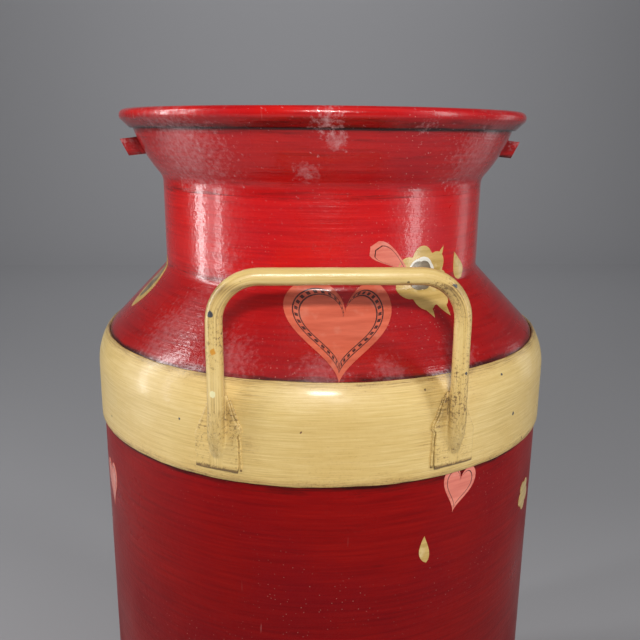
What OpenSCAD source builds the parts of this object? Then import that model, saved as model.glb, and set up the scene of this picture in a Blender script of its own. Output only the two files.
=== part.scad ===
// Milk can: a tinned sheet-steel can with a flared mouth, two fixed grip handles
// and a recessed plug lid that lifts straight out.
// Millimetres, +Z up, origin at the centre of the standing face.
// The handles are on -Y (front) and +Y (back), the strap lugs on -X and +X.

/* [Body] */
// Height over the rolled rim
can_height = 483; // [470:1:500]
// Outside diameter of the cylindrical body
body_diameter = 266.7; // [264:0.1:269]
// Thickness of the body, shoulder, mouth and lid sheet
sheet = 1.2; // [1.0:0.1:1.2]
// Space left in a soldered joint
solder_gap = 0.05; // [0.05:0.01:0.1]
// Width of the lap seam up the back of the body
seam_width = 12; // [8:1:16]
// How far the lap seam stands proud
seam_rise = 0.9; // [0.6:0.1:1.2]
// Height of the pressed-up bottom over the floor
bottom_rise = 16; // [12:1:22]
// Corner radius of the pressed bottom
bottom_corner = 7; // [4:1:10]

/* [Hoops] */
// Thickness of the two hoops
hoop_sheet = 1.4; // [1.2:0.1:1.6]
// Height of the foot hoop
foot_hoop_height = 32; // [26:1:40]
// Width of the foot hoop's turned-in standing lip
foot_lip = 5.2; // [4.5:0.1:7]
// Lower edge of the shoulder hoop above the floor
shoulder_hoop_bottom = 310.7; // [306:0.1:314]
// How far the shoulder hoop wraps over the curve of the shoulder, in degrees
shoulder_hoop_wrap = 33.5; // [25:0.5:38]

/* [Shoulder and neck] */
// Height where the shoulder's curve meets the upright body
shoulder_spring = 341; // [338:0.5:344]
// Radius of the curve at the outside of the shoulder
shoulder_curve = 34; // [30:1:36]
// Slope of the shoulder below horizontal, in degrees
shoulder_slope = 45.85; // [44:0.05:47]
// Outside diameter of the neck
neck_diameter = 186.8; // [184:0.1:188]
// Radius in the corner between neck and shoulder
neck_corner = 6; // [4:1:8]
// Depth of the joggled flange that drops into the body
shoulder_flange = 18; // [12:1:24]
// Height of the shoulder's collar inside the foot of the neck
collar_height = 9; // [6:1:9]

/* [Mouth] */
// Radius of the bowl's curved wall, seen in section
bowl_curve = 77.7; // [77:0.1:78.5]
// Distance of that curve's centre from the can's axis
bowl_centre_out = 35.3; // [35:0.1:36]
// Height of that curve's centre over the rim
bowl_centre_up = 15.3; // [15:0.1:16]
// Radius in the corner between bowl and neck
bowl_corner = 8; // [6:0.5:9]
// Height of the rolled rim and its folded skirt
rim_skirt = 9.8; // [9.4:0.1:10.4]
// Distance of the skirt's lower edge from the can's axis
skirt_edge = 110.6; // [110.4:0.1:110.9]
// Radius of the stiffening wires in the two rolled edges
wire_radius = 1.95; // [1.8:0.05:2]
// Depth of the sleeve that fits inside the neck
sleeve_depth = 13; // [10:1:18]

/* [Handles] */
// Diameter of the handle rod
rod_diameter = 8; // [7:0.5:9]
// Distance between the handle's two legs
leg_spacing = 112; // [108:1:116]
// Distance of the handle's plane from the can's axis
handle_reach = 129; // [128.6:0.1:129.4]
// Height of the middle of the grip bar
grip_height = 410; // [404:1:414]
// Bend radius at the two corners, to the middle of the rod
grip_bend = 20; // [16:1:24]
// Thickness of the flattened feet
foot_plate = 1.5; // [1.2:0.1:1.8]
// Angle around the can of a foot's inner edge, in degrees
foot_inner = 19.8; // [19.4:0.1:20.2]
// Angle around the can of a foot's outer edge, in degrees
foot_outer = 29.4; // [28.5:0.1:30]
// Height of the feet's lower edge
foot_low = 315.5; // [313:0.5:318]
// Height where the feet start to narrow
foot_waist = 339; // [337:0.5:341]
// Height where the feet run out into the legs
foot_top = 354; // [350:1:356]

/* [Lugs] */
// Middle height of a lug below the rim
lug_drop = 19.5; // [18.5:0.5:20.5]
// Height of a lug's strap
lug_tall = 9.4; // [8:0.2:10]
// Outside width of a lug's loop
lug_wide = 15; // [14:0.5:17]
// How far a lug stands off the bowl
lug_out = 10; // [9:0.5:11]
// Thickness of a lug's strap
lug_strap = 1.5; // [1.2:0.1:1.6]
// Length of each soldered tab beside the loop
lug_tab = 6; // [5:0.5:7]

/* [Lid] */
// Clearance between the lid's flare and the bowl
flare_gap = 0.4; // [0.35:0.05:0.6]
// Clearance between the lid's plug and the sleeve
plug_gap = 0.6; // [0.5:0.1:1]
// Depth of the plug's underside below the rim
plug_depth = 75; // [68:1:80]
// Corner radius at the bottom of the plug
plug_corner = 8; // [5:1:10]
// Angle where the lid's flare ends in its rolled edge, in degrees
flare_end = 18; // [17.5:0.5:20]
// Diameter of the lid handle's rod
lid_rod_diameter = 8; // [7:0.5:9]
// Distance between the lid handle's legs
lid_grip_span = 92; // [84:2:100]
// Height of the lid handle's bar over the plug's floor
lid_grip_rise = 46; // [40:1:50]
// Bend radius of the lid handle, to the middle of the rod
lid_grip_bend = 15; // [12:1:18]
// Diameter of the lid handle's flattened feet
lid_pad_diameter = 25; // [22:1:28]
// Thickness of the lid handle's flattened feet
lid_pad_thick = 2; // [1.6:0.1:2.4]

/* [Paint] */
// Enamel on the body, shoulder, mouth and lid
red = [0.60, 0.03, 0.04];
// Glaze on the hoops and handles
cream = [0.84, 0.68, 0.36];
// Bare tinned steel
tin = [0.62, 0.62, 0.60];

/* [Hidden] */
$fn = 120;
// Overlap used where shapes are joined, and reach of cutting tools
join = 0.02;
reach = 400;
// How far a curve seen in section may stray from the true arc
curve_error = 0.02;

body_r = body_diameter / 2;
body_in = body_r - sheet;
hoop_in = body_r + solder_gap;
hoop_out = hoop_in + hoop_sheet;
flange_out = body_in - solder_gap;
flange_in = flange_out - sheet;
foot_corner = 2;
// The two hoops leave this much of the seam dressed flat beside them
seam_clear = 2;

neck_r = neck_diameter / 2;
neck_in = neck_r - sheet;
sleeve_out = neck_in - solder_gap;
sleeve_in = sleeve_out - sheet;

// Shoulder curve: centre, and the point where the sloping wall leaves it
curve_x = body_r - shoulder_curve;
curve_turn = 90 - shoulder_slope;
slope_x = curve_x + shoulder_curve * cos(curve_turn);
slope_z = shoulder_spring + shoulder_curve * sin(curve_turn);
// Height where the sloping wall would cut the neck
knee_z = slope_z + (slope_x - neck_r) * tan(shoulder_slope);
corner_x = neck_r + neck_corner;
corner_z = knee_z - neck_corner * tan(shoulder_slope) + neck_corner / cos(shoulder_slope);
joggle = 2;

// Bowl curve centre, and the small corner curve where the bowl meets the neck
bowl_x = bowl_centre_out;
bowl_z = can_height + bowl_centre_up;
throat_x = neck_r + bowl_corner;
throat_fall = sqrt(pow(bowl_curve + bowl_corner, 2) - pow(throat_x - bowl_x, 2));
throat_z = bowl_z - throat_fall;
throat_turn = atan2(throat_fall, throat_x - bowl_x);
bowl_inner = bowl_curve - sheet;
// Neck stops this far below the corner curve
neck_top = throat_z - 3;

// Rolled rim: its outside radius, its centre and the tangent to the skirt's edge
roll_gap = 0.05;
roll_in = wire_radius + roll_gap;
roll_out = roll_in + sheet;
roll_z = can_height - roll_out;
roll_x = bowl_x + sqrt(pow(bowl_inner + roll_out, 2) - pow(bowl_z - roll_z, 2));
roll_turn = atan2(bowl_z - roll_z, roll_x - bowl_x);
skirt_z = can_height - rim_skirt;
skirt_run = norm([skirt_edge - roll_x, skirt_z - roll_z]);
skirt_aim = atan2(skirt_z - roll_z, skirt_edge - roll_x);
skirt_turn = skirt_aim + acos(roll_out / skirt_run);

// Lid flare and plug
flare_out = bowl_inner - flare_gap;
flare_in = flare_out - sheet;
plug_r = sleeve_in - plug_gap;
plug_in = plug_r - sheet;
plug_z = can_height - plug_depth;
plug_floor = plug_z + sheet;
// The cup's wall ends just under the flare, where the bowl's clearance starts
plug_top = bowl_z - sqrt(pow(flare_out, 2) - pow(plug_r - bowl_x, 2));
lid_collar = 8;
bead_x = bowl_x + (flare_out - roll_out) * cos(flare_end);
bead_z = bowl_z - (flare_out - roll_out) * sin(flare_end);
bead_close = 228;

// Handle legs and feet
rod_r = rod_diameter / 2;
leg_x = leg_spacing / 2;
leg_angle = atan2(leg_x, handle_reach);
leg_out = norm([leg_x, handle_reach]);
plate_in = hoop_out + solder_gap;
plate_out = plate_in + foot_plate;
// The leg curves in below this height and sinks into its foot
elbow_top = foot_waist + 10;
elbow_bend = 45;
foot_sink = 40;
elbow_lap = 0.5;
sunk_r = rod_r - 0.05;
// Half the width of the foot where it runs out behind the leg
foot_neck = 3.2;

// Lid handle
lid_rod_r = lid_rod_diameter / 2;
lid_leg_x = lid_grip_span / 2;
lid_pad_z = plug_floor + solder_gap;

// Lug section: outward distances measured from the bowl's wall
lug_z = can_height - lug_drop;
lug_lean = 7;
lug_tab_thick = 1.2;

// Distance of the bowl's outside from the axis at a height
function bowl_at(z) = bowl_x + sqrt(pow(bowl_curve, 2) - pow(bowl_z - z, 2));

// Points along an arc seen in section, close enough together to stay within curve_error
function arc(x, z, r, from, to) =
  let(steps = ceil(abs(to - from) / (2 * acos(1 - curve_error / r))))
  [for (i = [0 : steps]) [
    x + r * cos(from + (to - from) * i / steps),
    z + r * sin(from + (to - from) * i / steps)
  ]];

// Upright tube centred on the axis
module tube(outer, inner, low, high) {
  translate([0, 0, low])
    difference() {
      cylinder(r = outer, h = high - low);
      translate([0, 0, -1])
        cylinder(r = inner, h = high - low + 2);
    }
}

// Cylinder rolled from sheet, with its lap seam up the back between the hoops
module body_shell() {
  color(red) {
    tube(body_r, body_in, hoop_sheet + solder_gap, shoulder_spring - solder_gap);
    seam_low = foot_hoop_height + seam_clear;
    seam_high = shoulder_hoop_bottom - seam_clear;
    intersection() {
      tube(body_r + seam_rise, body_in + sheet / 2, seam_low, seam_high);
      translate([-seam_width / 2, 0, seam_low])
        cube([seam_width, reach, seam_high - seam_low]);
    }
  }
}

// Bottom disc pressed up into the body, its flange turned down to the foot
module bottom_head() {
  rest = hoop_sheet + solder_gap;
  bend_x = flange_out - bottom_corner;
  bend_z = bottom_rise + sheet - bottom_corner;
  color(tin)
    rotate_extrude()
      polygon(concat(
        [[0, bottom_rise + sheet]],
        arc(bend_x, bend_z, bottom_corner, 90, 0),
        [[flange_out, rest], [flange_in, rest]],
        arc(bend_x, bend_z, bottom_corner - sheet, 0, 90),
        [[0, bottom_rise]]
      ));
}

// Foot hoop with its lower edge turned in under the body as the standing lip
module foot_hoop() {
  color(cream)
    rotate_extrude()
      polygon(concat(
        [[hoop_out - foot_lip, hoop_sheet], [hoop_out - foot_lip, 0]],
        arc(hoop_out - foot_corner, foot_corner, foot_corner, -90, 0),
        [[hoop_out, foot_hoop_height], [hoop_in, foot_hoop_height], [hoop_in, hoop_sheet]]
      ));
}

// Shoulder: a collar inside the neck, the sloping wall, a joggled flange inside the body
module breast() {
  inner_corner = neck_corner + sheet;
  inner_curve = shoulder_curve - sheet;
  collar_top = corner_z + collar_height;
  foot = shoulder_spring - shoulder_flange;
  ledge = shoulder_spring + joggle;
  color(red)
    rotate_extrude()
      polygon(concat(
        [[sleeve_in, collar_top], [sleeve_out, collar_top], [sleeve_out, corner_z]],
        arc(corner_x, corner_z, neck_corner, 180, 180 + curve_turn),
        arc(curve_x, shoulder_spring, shoulder_curve, curve_turn, 0),
        [[flange_out, shoulder_spring], [flange_out, foot], [flange_in, foot], [flange_in, ledge]],
        arc(curve_x, shoulder_spring, inner_curve, asin(joggle / inner_curve), curve_turn),
        arc(corner_x, corner_z, inner_corner, 180 + curve_turn, 180 + asin(joggle / inner_corner)),
        [[sleeve_in, corner_z - joggle]]
      ));
}

// Upright neck between the shoulder's collar and the mouth's sleeve
module neck() {
  color(red)
    tube(neck_r, neck_in, corner_z + solder_gap, neck_top - solder_gap);
}

// Flared mouth: a sleeve in the neck, the curved bowl and the edge rolled over a wire
module mouth_bowl() {
  sleeve_foot = neck_top - sleeve_depth;
  color(red)
    rotate_extrude()
      polygon(concat(
        [[sleeve_in, sleeve_foot], [sleeve_out, sleeve_foot], [sleeve_out, neck_top]],
        [[neck_r, neck_top]],
        arc(throat_x, throat_z, bowl_corner, 180, 180 - throat_turn),
        arc(bowl_x, bowl_z, bowl_curve, -throat_turn, -roll_turn),
        arc(roll_x, roll_z, roll_in, 180 - roll_turn, skirt_turn),
        [[skirt_edge - sheet * cos(skirt_turn), skirt_z - sheet * sin(skirt_turn)]],
        [[skirt_edge, skirt_z]],
        arc(roll_x, roll_z, roll_out, skirt_turn, 180 - roll_turn),
        arc(bowl_x, bowl_z, bowl_inner, -roll_turn, -acos((sleeve_in - bowl_x) / bowl_inner))
      ));
}

// Stiffening wire inside the rolled rim
module rim_wire() {
  color(tin)
    rotate_extrude()
      translate([roll_x, roll_z])
        circle(wire_radius);
}

// Hoop round the top of the body, its upper edge drawn in over the shoulder
module shoulder_hoop() {
  inner_curve = shoulder_curve + solder_gap;
  color(cream)
    rotate_extrude()
      polygon(concat(
        [[hoop_in, shoulder_hoop_bottom], [hoop_out, shoulder_hoop_bottom]],
        arc(curve_x, shoulder_spring, inner_curve + hoop_sheet, 0, shoulder_hoop_wrap),
        arc(curve_x, shoulder_spring, inner_curve, shoulder_hoop_wrap, 0)
      ));
}

// Half of a handle: half the grip, one bend, one leg, and the leg's end sunk into its foot
module half_handle() {
  leg_top = grip_height - grip_bend;
  elbow_x = leg_out - elbow_bend;
  translate([0, -handle_reach, grip_height])
    rotate([0, 90, 0])
      cylinder(r = rod_r, h = leg_x - grip_bend + join);
  translate([leg_x - grip_bend, -handle_reach, leg_top])
    rotate([90, 0, 0])
      rotate_extrude(angle = 90)
        translate([grip_bend, 0])
          circle(rod_r);
  translate([leg_x, -handle_reach, elbow_top - elbow_lap])
    cylinder(r = rod_r, h = leg_top - elbow_top + elbow_lap + join);
  difference() {
    rotate([0, 0, leg_angle - 90])
      translate([elbow_x, 0, elbow_top])
        rotate([90, 0, 0])
          rotate([0, 0, -foot_sink])
            rotate_extrude(angle = foot_sink)
              translate([elbow_bend, 0])
                circle(sunk_r);
    translate([0, 0, elbow_top - reach / 2 - 1])
      cylinder(r = plate_in + foot_plate / 3, h = reach / 2);
  }
  foot_sheet();
}

// Flattened foot: a plate bent round the hoop that narrows up into the leg
module foot_sheet() {
  intersection() {
    tube(plate_out, plate_in, foot_low, foot_top);
    rotate([90, 0, 0])
      linear_extrude(reach)
        polygon([
          [plate_in * sin(foot_inner), foot_low - 1],
          [plate_in * sin(foot_outer), foot_low - 1],
          [plate_in * sin(foot_outer), foot_waist - 6],
          [leg_x + foot_neck, foot_top + 1],
          [leg_x - foot_neck, foot_top + 1],
          [plate_in * sin(foot_inner), foot_waist]
        ]);
  }
}

// One-piece rod handle, its two feet soldered to the shoulder hoop
module handle() {
  half_handle();
  mirror([1, 0, 0])
    half_handle();
}

module front_handle() {
  color(cream)
    handle();
}

module back_handle() {
  color(cream)
    mirror([0, 1, 0])
      handle();
}

// Section of a lug, sheared to the slope of the bowl; near and far are distances outward
module lug_section(near, far) {
  low = lug_z - lug_tall / 2;
  high = lug_z + lug_tall / 2;
  polygon([
    [bowl_at(low) + near, low - near * tan(lug_lean)],
    [bowl_at(low) + far, low - far * tan(lug_lean)],
    [bowl_at(high) + far, high - far * tan(lug_lean)],
    [bowl_at(high) + near, high - near * tan(lug_lean)]
  ]);
}

// Solid of revolution that fills the bowl out to its outside plus the solder gap
module bowl_filled() {
  rotate_extrude()
    intersection() {
      translate([bowl_x, bowl_z])
        circle(bowl_curve + solder_gap);
      translate([0, lug_z - 3 * lug_tall])
        square([reach, 6 * lug_tall]);
    }
}

// Strap lug on +X: a loop standing off the bowl, open upward and downward, with two tabs
module lug() {
  difference() {
    rotate([90, 0, 0])
      union() {
        difference() {
          translate([0, 0, -lug_wide / 2])
            linear_extrude(lug_wide)
              lug_section(-2, lug_out);
          translate([0, 0, lug_strap - lug_wide / 2])
            linear_extrude(lug_wide - 2 * lug_strap)
              lug_section(-4, lug_out - lug_strap);
        }
        for (side = [0, 1])
          mirror([0, 0, side])
            translate([0, 0, lug_wide / 2 - lug_strap])
              linear_extrude(lug_tab + lug_strap)
                lug_section(-2, lug_tab_thick);
      }
    bowl_filled();
  }
}

module left_lug() {
  color(red)
    mirror([1, 0, 0])
      lug();
}

module right_lug() {
  color(red)
    lug();
}

// Lid's cup: an upright wall and a floor, pressed from one sheet
module lid_plug() {
  bend_x = plug_r - plug_corner;
  bend_z = plug_z + plug_corner;
  color(red)
    rotate_extrude()
      polygon(concat(
        [[0, plug_z]],
        arc(bend_x, bend_z, plug_corner, -90, 0),
        [[plug_r, plug_top], [plug_in, plug_top]],
        arc(bend_x, bend_z, plug_corner - sheet, 0, -90),
        [[0, plug_floor]]
      ));
}

// Lid's flare: a collar inside the cup, a curve that follows the bowl, a rolled edge
module lid_flare() {
  collar_out = plug_in - solder_gap;
  collar_in = collar_out - sheet;
  brow = plug_top + solder_gap;
  color(red)
    rotate_extrude()
      polygon(concat(
        [[collar_in, plug_top - lid_collar], [collar_out, plug_top - lid_collar]],
        [[collar_out, brow]],
        arc(bowl_x, bowl_z, flare_out, -asin((bowl_z - brow) / flare_out), -flare_end),
        arc(bead_x, bead_z, roll_out, -flare_end, bead_close),
        arc(bead_x, bead_z, roll_in, bead_close, -flare_end),
        arc(bowl_x, bowl_z, flare_in, -flare_end, -acos((collar_in - bowl_x) / flare_in))
      ));
}

// Stiffening wire inside the lid's rolled edge
module lid_wire() {
  color(tin)
    rotate_extrude()
      translate([bead_x, bead_z])
        circle(wire_radius);
}

// Half of the lid's rod handle with one flattened round foot
module half_lid_handle() {
  bend_z = lid_pad_z + lid_grip_rise - lid_grip_bend;
  translate([0, 0, bend_z + lid_grip_bend])
    rotate([0, 90, 0])
      cylinder(r = lid_rod_r, h = lid_leg_x - lid_grip_bend + join);
  translate([lid_leg_x - lid_grip_bend, 0, bend_z])
    rotate([90, 0, 0])
      rotate_extrude(angle = 90)
        translate([lid_grip_bend, 0])
          circle(lid_rod_r);
  translate([lid_leg_x, 0, lid_pad_z + lid_pad_thick / 2])
    cylinder(r = lid_rod_r, h = bend_z - lid_pad_z - lid_pad_thick / 2 + join);
  translate([lid_leg_x, 0, lid_pad_z])
    cylinder(d = lid_pad_diameter, h = lid_pad_thick);
}

// Rod handle that stands in the lid's recess
module lid_handle() {
  color(cream) {
    half_lid_handle();
    mirror([1, 0, 0])
      half_lid_handle();
  }
}

body_shell();
bottom_head();
foot_hoop();
breast();
neck();
mouth_bowl();
rim_wire();
shoulder_hoop();
front_handle();
back_handle();
left_lug();
right_lug();
lid_plug();
lid_flare();
lid_wire();
lid_handle();
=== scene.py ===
import math

import bpy
from mathutils import Matrix, Vector, noise


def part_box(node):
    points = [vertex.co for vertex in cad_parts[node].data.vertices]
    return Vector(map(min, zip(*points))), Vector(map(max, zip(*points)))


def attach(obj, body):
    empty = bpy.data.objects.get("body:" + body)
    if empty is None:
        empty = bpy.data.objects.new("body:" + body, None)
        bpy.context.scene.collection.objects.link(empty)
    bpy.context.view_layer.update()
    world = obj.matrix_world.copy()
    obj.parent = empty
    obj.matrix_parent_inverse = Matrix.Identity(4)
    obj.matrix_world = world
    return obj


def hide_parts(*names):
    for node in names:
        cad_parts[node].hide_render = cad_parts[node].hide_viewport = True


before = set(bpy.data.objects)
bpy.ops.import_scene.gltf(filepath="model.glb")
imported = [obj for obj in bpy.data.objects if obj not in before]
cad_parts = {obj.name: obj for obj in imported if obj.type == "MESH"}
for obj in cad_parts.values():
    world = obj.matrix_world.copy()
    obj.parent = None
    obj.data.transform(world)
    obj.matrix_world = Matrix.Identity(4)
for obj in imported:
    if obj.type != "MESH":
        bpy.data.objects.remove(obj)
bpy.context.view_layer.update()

# Everything is drawn in millimetres and turned into metres as it is made
MM = 0.001
NOTHING = 1e-6


def high(node):
    """Highest corner of a CAD piece at rest, in millimetres."""
    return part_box(node)[1] / MM


def low(node):
    """Lowest corner of a CAD piece at rest, in millimetres."""
    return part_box(node)[0] / MM


# ---------------------------------------------------------------- measures
# Millimetres and degrees. What the CAD pieces' boxes can say is read from them.

# Body and hoops
SHEET = 1.2
SOLDER = 0.05
BODY = high("body_shell").x
BODY_FOOT = 1.5
BODY_TOP = high("body_shell").z
SEAM_WIDTH = 12
SEAM_RISE = 0.85
SEAM_SINK = 0.6
HOOP = high("shoulder_hoop").x
HOOP_LOW = low("shoulder_hoop").z
HOOP_SHEET = 1.4
HOOP_WRAP = 33.5
FOOT_HOOP_TOP = high("foot_hoop").z
FOOT_LIP = 5.2
BOTTOM_RISE = 16
BOTTOM_BEND = 7
BOTTOM_REST = 1.45
BOTTOM_FLAT = 118

# Shoulder and neck
SPRING = 341
CURVE = 34
SLOPE = 45.85
NECK = high("neck").x
NECK_TOP = high("neck").z
CORNER = 6
FLANGE = 18
JOGGLE = 2
COLLAR = 9
TURN = 90 - SLOPE
CURVE_X = BODY - CURVE
SLOPE_X = CURVE_X + CURVE * math.cos(math.radians(TURN))
SLOPE_Z = SPRING + CURVE * math.sin(math.radians(TURN))
KNEE_Z = SLOPE_Z + (SLOPE_X - NECK) * math.tan(math.radians(SLOPE))
CORNER_X = NECK + CORNER
CORNER_Z = KNEE_Z + CORNER * (1 / math.cos(math.radians(SLOPE)) - math.tan(math.radians(SLOPE)))
NECK_IN = NECK - SHEET
SLEEVE_OUT = NECK_IN - SOLDER
SLEEVE_IN = SLEEVE_OUT - SHEET
FLANGE_OUT = BODY - SHEET - SOLDER
FLANGE_IN = FLANGE_OUT - SHEET

# Flared mouth and its rolled rim
RIM = high("mouth_bowl").z
BOWL = 77.7
BOWL_X = 35.3
BOWL_Z = RIM + 15.3
THROAT = 8
SLEEVE_DEPTH = 13
SKIRT = 9.8
SKIRT_X = 110.6
ROLL_IN = 2.0
ROLL_OUT = 3.2
THROAT_X = NECK + THROAT
THROAT_FALL = math.sqrt((BOWL + THROAT) ** 2 - (THROAT_X - BOWL_X) ** 2)
THROAT_Z = BOWL_Z - THROAT_FALL
THROAT_TURN = math.degrees(math.atan2(THROAT_FALL, THROAT_X - BOWL_X))
BOWL_IN = BOWL - SHEET
ROLL_Z = RIM - ROLL_OUT
ROLL_X = BOWL_X + math.sqrt((BOWL_IN + ROLL_OUT) ** 2 - (BOWL_Z - ROLL_Z) ** 2)
ROLL_TURN = math.degrees(math.atan2(BOWL_Z - ROLL_Z, ROLL_X - BOWL_X))
SKIRT_Z = RIM - SKIRT
SKIRT_AIM = math.degrees(math.atan2(SKIRT_Z - ROLL_Z, SKIRT_X - ROLL_X))
SKIRT_RUN = math.hypot(SKIRT_X - ROLL_X, SKIRT_Z - ROLL_Z)
SKIRT_TURN = SKIRT_AIM + math.degrees(math.acos(ROLL_OUT / SKIRT_RUN))

# Rod handles
ROD = 4.0
LEG_X = 56
REACH = 129
GRIP_Z = 410
GRIP_BEND = 20
ELBOW_Z = 349
ELBOW_BEND = 45
FOOT_SINK = 40
FOOT_STRAY = 0.11
LEG_TURN = math.atan2(LEG_X, REACH)
LEG_OUT = math.hypot(LEG_X, REACH)
PLATE = HOOP + SOLDER
PLATE_THICK = 1.5
FOOT_PAINT_TOP = 355
LUMPS_FROM = 352

# Lid
LID_GAP = 0.4
FLARE_OUT = BOWL_IN - LID_GAP
FLARE_IN = FLARE_OUT - SHEET
FLARE_END = 18
BEAD_CLOSE = 228
PLUG = high("lid_plug").x
PLUG_IN = PLUG - SHEET
PLUG_Z = low("lid_plug").z
PLUG_TOP = high("lid_plug").z
PLUG_BEND = 8
LID_COLLAR = 8
BEAD_X = BOWL_X + (FLARE_OUT - ROLL_OUT) * math.cos(math.radians(FLARE_END))
BEAD_Z = BOWL_Z - (FLARE_OUT - ROLL_OUT) * math.sin(math.radians(FLARE_END))
LID_ROD = 4
LID_LEG_X = 46
LID_BEND = 15
LID_PAD = 12.5
LID_PAD_THICK = 2
LID_PAD_Z = low("lid_handle").z
LID_BAR_Z = high("lid_handle").z - LID_ROD


# ---------------------------------------------------------------- camera

EYE = (-0.02936, -0.4420, 0.471)
LOOK_RIGHT = 3.745
LOOK_DOWN = 14.05
TILT = 0.537


def make_camera():
    """Stands close in front of the can, just under the height of its rim, and looks down at it."""
    data = bpy.data.cameras.new("studio_camera")
    data.lens = 40.83
    data.sensor_width = 36
    data.shift_y = -0.0078
    camera = bpy.data.objects.new("studio_camera", data)
    bpy.context.scene.collection.objects.link(camera)
    turn = Matrix.Rotation(math.radians(-LOOK_RIGHT), 4, "Z")
    nod = Matrix.Rotation(math.radians(90 - LOOK_DOWN), 4, "X")
    roll = Matrix.Rotation(math.radians(TILT), 4, "Z")
    camera.matrix_world = Matrix.Translation(EYE) @ turn @ nod @ roll
    bpy.context.scene.camera = camera


make_camera()


# ---------------------------------------------------------------- drawing and spinning sections

def bend(x, z, radius, start, end, step=6):
    """Points along an arc of a section, angles in degrees."""
    parts = max(2, math.ceil(abs(end - start) / step))
    turns = [math.radians(start + (end - start) * i / parts) for i in range(parts + 1)]
    return [(x + radius * math.cos(t), z + radius * math.sin(t)) for t in turns]


def run(start, end, step=9):
    """Points along a straight stretch of a section, its two ends left out."""
    parts = math.ceil(math.dist(start, end) / step)
    return [tuple(a + (b - a) * i / parts for a, b in zip(start, end)) for i in range(1, parts)]


def push_along(points):
    """Extrudes what is selected from each point, in millimetres, to the next."""
    for before, after in zip(points, points[1:]):
        step = (Vector(after) - Vector(before)) * MM
        bpy.ops.mesh.extrude_region_move(TRANSFORM_OT_translate={"value": step})


def draw(name, points):
    """A line drawn through points in millimetres, one edge extruded after another."""
    bpy.ops.object.select_all(action="DESELECT")
    bpy.ops.mesh.primitive_plane_add(size=MM, location=Vector(points[0]) * MM)
    piece = bpy.context.object
    piece.name = piece.data.name = name
    bpy.ops.object.mode_set(mode="EDIT")
    bpy.ops.mesh.merge(type="CENTER")
    push_along(points)
    return piece


def merge_all():
    """Merges the points that lie on each other anywhere in the mesh."""
    bpy.ops.mesh.select_all(action="SELECT")
    bpy.ops.mesh.remove_doubles(threshold=NOTHING)


def fill(name, outline):
    """A flat face, standing up at the can's axis, inside an outline of (along, up)."""
    piece = draw(name, [(x, 0, z) for x, z in outline + outline[:1]])
    merge_all()
    bpy.ops.mesh.select_all(action="SELECT")
    bpy.ops.mesh.edge_face_add()
    return piece


# Edges that turn by more than this are bevelled
SHARP = math.radians(40)


def settle(piece, smooth=32):
    """Leaves edit mode, puts the place of the piece into its mesh and smooths its faces."""
    bpy.ops.mesh.select_all(action="SELECT")
    bpy.ops.mesh.normals_make_consistent(inside=False)
    bpy.ops.object.mode_set(mode="OBJECT")
    bpy.ops.object.transform_apply(location=True, rotation=True, scale=True)
    bpy.ops.object.shade_smooth_by_angle(angle=math.radians(smooth))
    return piece


def turn_out():
    """Turns every face of the active piece the same way, outward where it is closed."""
    bpy.ops.object.mode_set(mode="EDIT")
    bpy.ops.mesh.select_all(action="SELECT")
    bpy.ops.mesh.normals_make_consistent(inside=False)
    bpy.ops.object.mode_set(mode="OBJECT")


def apply(piece, kind, **settings):
    """Adds a modifier to the piece and applies it."""
    bpy.ops.object.select_all(action="DESELECT")
    piece.select_set(True)
    bpy.context.view_layer.objects.active = piece
    made = piece.modifiers.new(kind.lower(), kind)
    for key, value in settings.items():
        setattr(made, key, value)
    bpy.ops.object.modifier_apply(modifier=made.name)


def spin_up(name, outline, steps=224, soft=0.0, smooth=32):
    """A closed section spun once round the can's axis; soft rounds its sharp edges."""
    piece = draw(name, [(x, 0, z) for x, z in outline + outline[:1]])
    merge_all()
    bpy.ops.mesh.select_all(action="SELECT")
    bpy.ops.mesh.spin(steps=steps, angle=2 * math.pi, center=(0, 0, 0), axis=(0, 0, 1))
    merge_all()
    settle(piece, smooth)
    if soft:
        apply(piece, "BEVEL", width=soft * MM, segments=2, limit_method="ANGLE", angle_limit=SHARP)
        bpy.ops.object.shade_smooth_by_angle(angle=math.radians(smooth))
    return piece


# ---------------------------------------------------------------- hand-made unevenness

# Deepest dent, and the heights between which the dents fade out towards the rolled rim
DENT = 0.42
DENT_FADE = (430, 470)
# Dents are the same through all layers of sheet, so they are read off one cylinder. What lies
# nearer the axis than UNDENTED millimetres keeps its shape.
DENT_RADIUS = 0.11
UNDENTED = 30


def dent_depth(co):
    """How far the sheet is pushed in at a place, in millimetres: old cans are never quite round."""
    flat = Vector((co.x, co.y, 0)).normalized() * DENT_RADIUS
    place = Vector((flat.x, flat.y, co.z * 0.75))
    broad = noise.noise(place * 15 + Vector((3.1, 0, 0)))
    small = noise.noise(place * 48 + Vector((0, 7.7, 0)))
    fade = min(1, max(0.12, (DENT_FADE[1] - co.z / MM) / (DENT_FADE[1] - DENT_FADE[0])))
    return DENT * fade * min(1, max(0, 0.5 + 0.62 * broad + 0.22 * small))


def dent(piece):
    """Pushes every point of a piece of sheet in along its radius, so neighbours keep their gap."""
    for v in piece.data.vertices:
        radius = math.hypot(v.co.x, v.co.y)
        if radius > UNDENTED * MM:
            shrink = 1 - dent_depth(v.co) * MM / radius
            v.co.x *= shrink
            v.co.y *= shrink


def waver(piece, height, reach, amount):
    """Makes the edge of a hoop at one height a little uneven."""
    for v in piece.data.vertices:
        near = 1 - abs(v.co.z / MM - height) / reach
        if near > 0:
            ripple = noise.noise(Vector((v.co.x * 34, v.co.y * 34, height)))
            fine = noise.noise(Vector((v.co.x * 160, v.co.y * 160, height)))
            v.co.z += near * amount * MM * (ripple + 0.4 * fine)


# ---------------------------------------------------------------- materials

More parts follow.
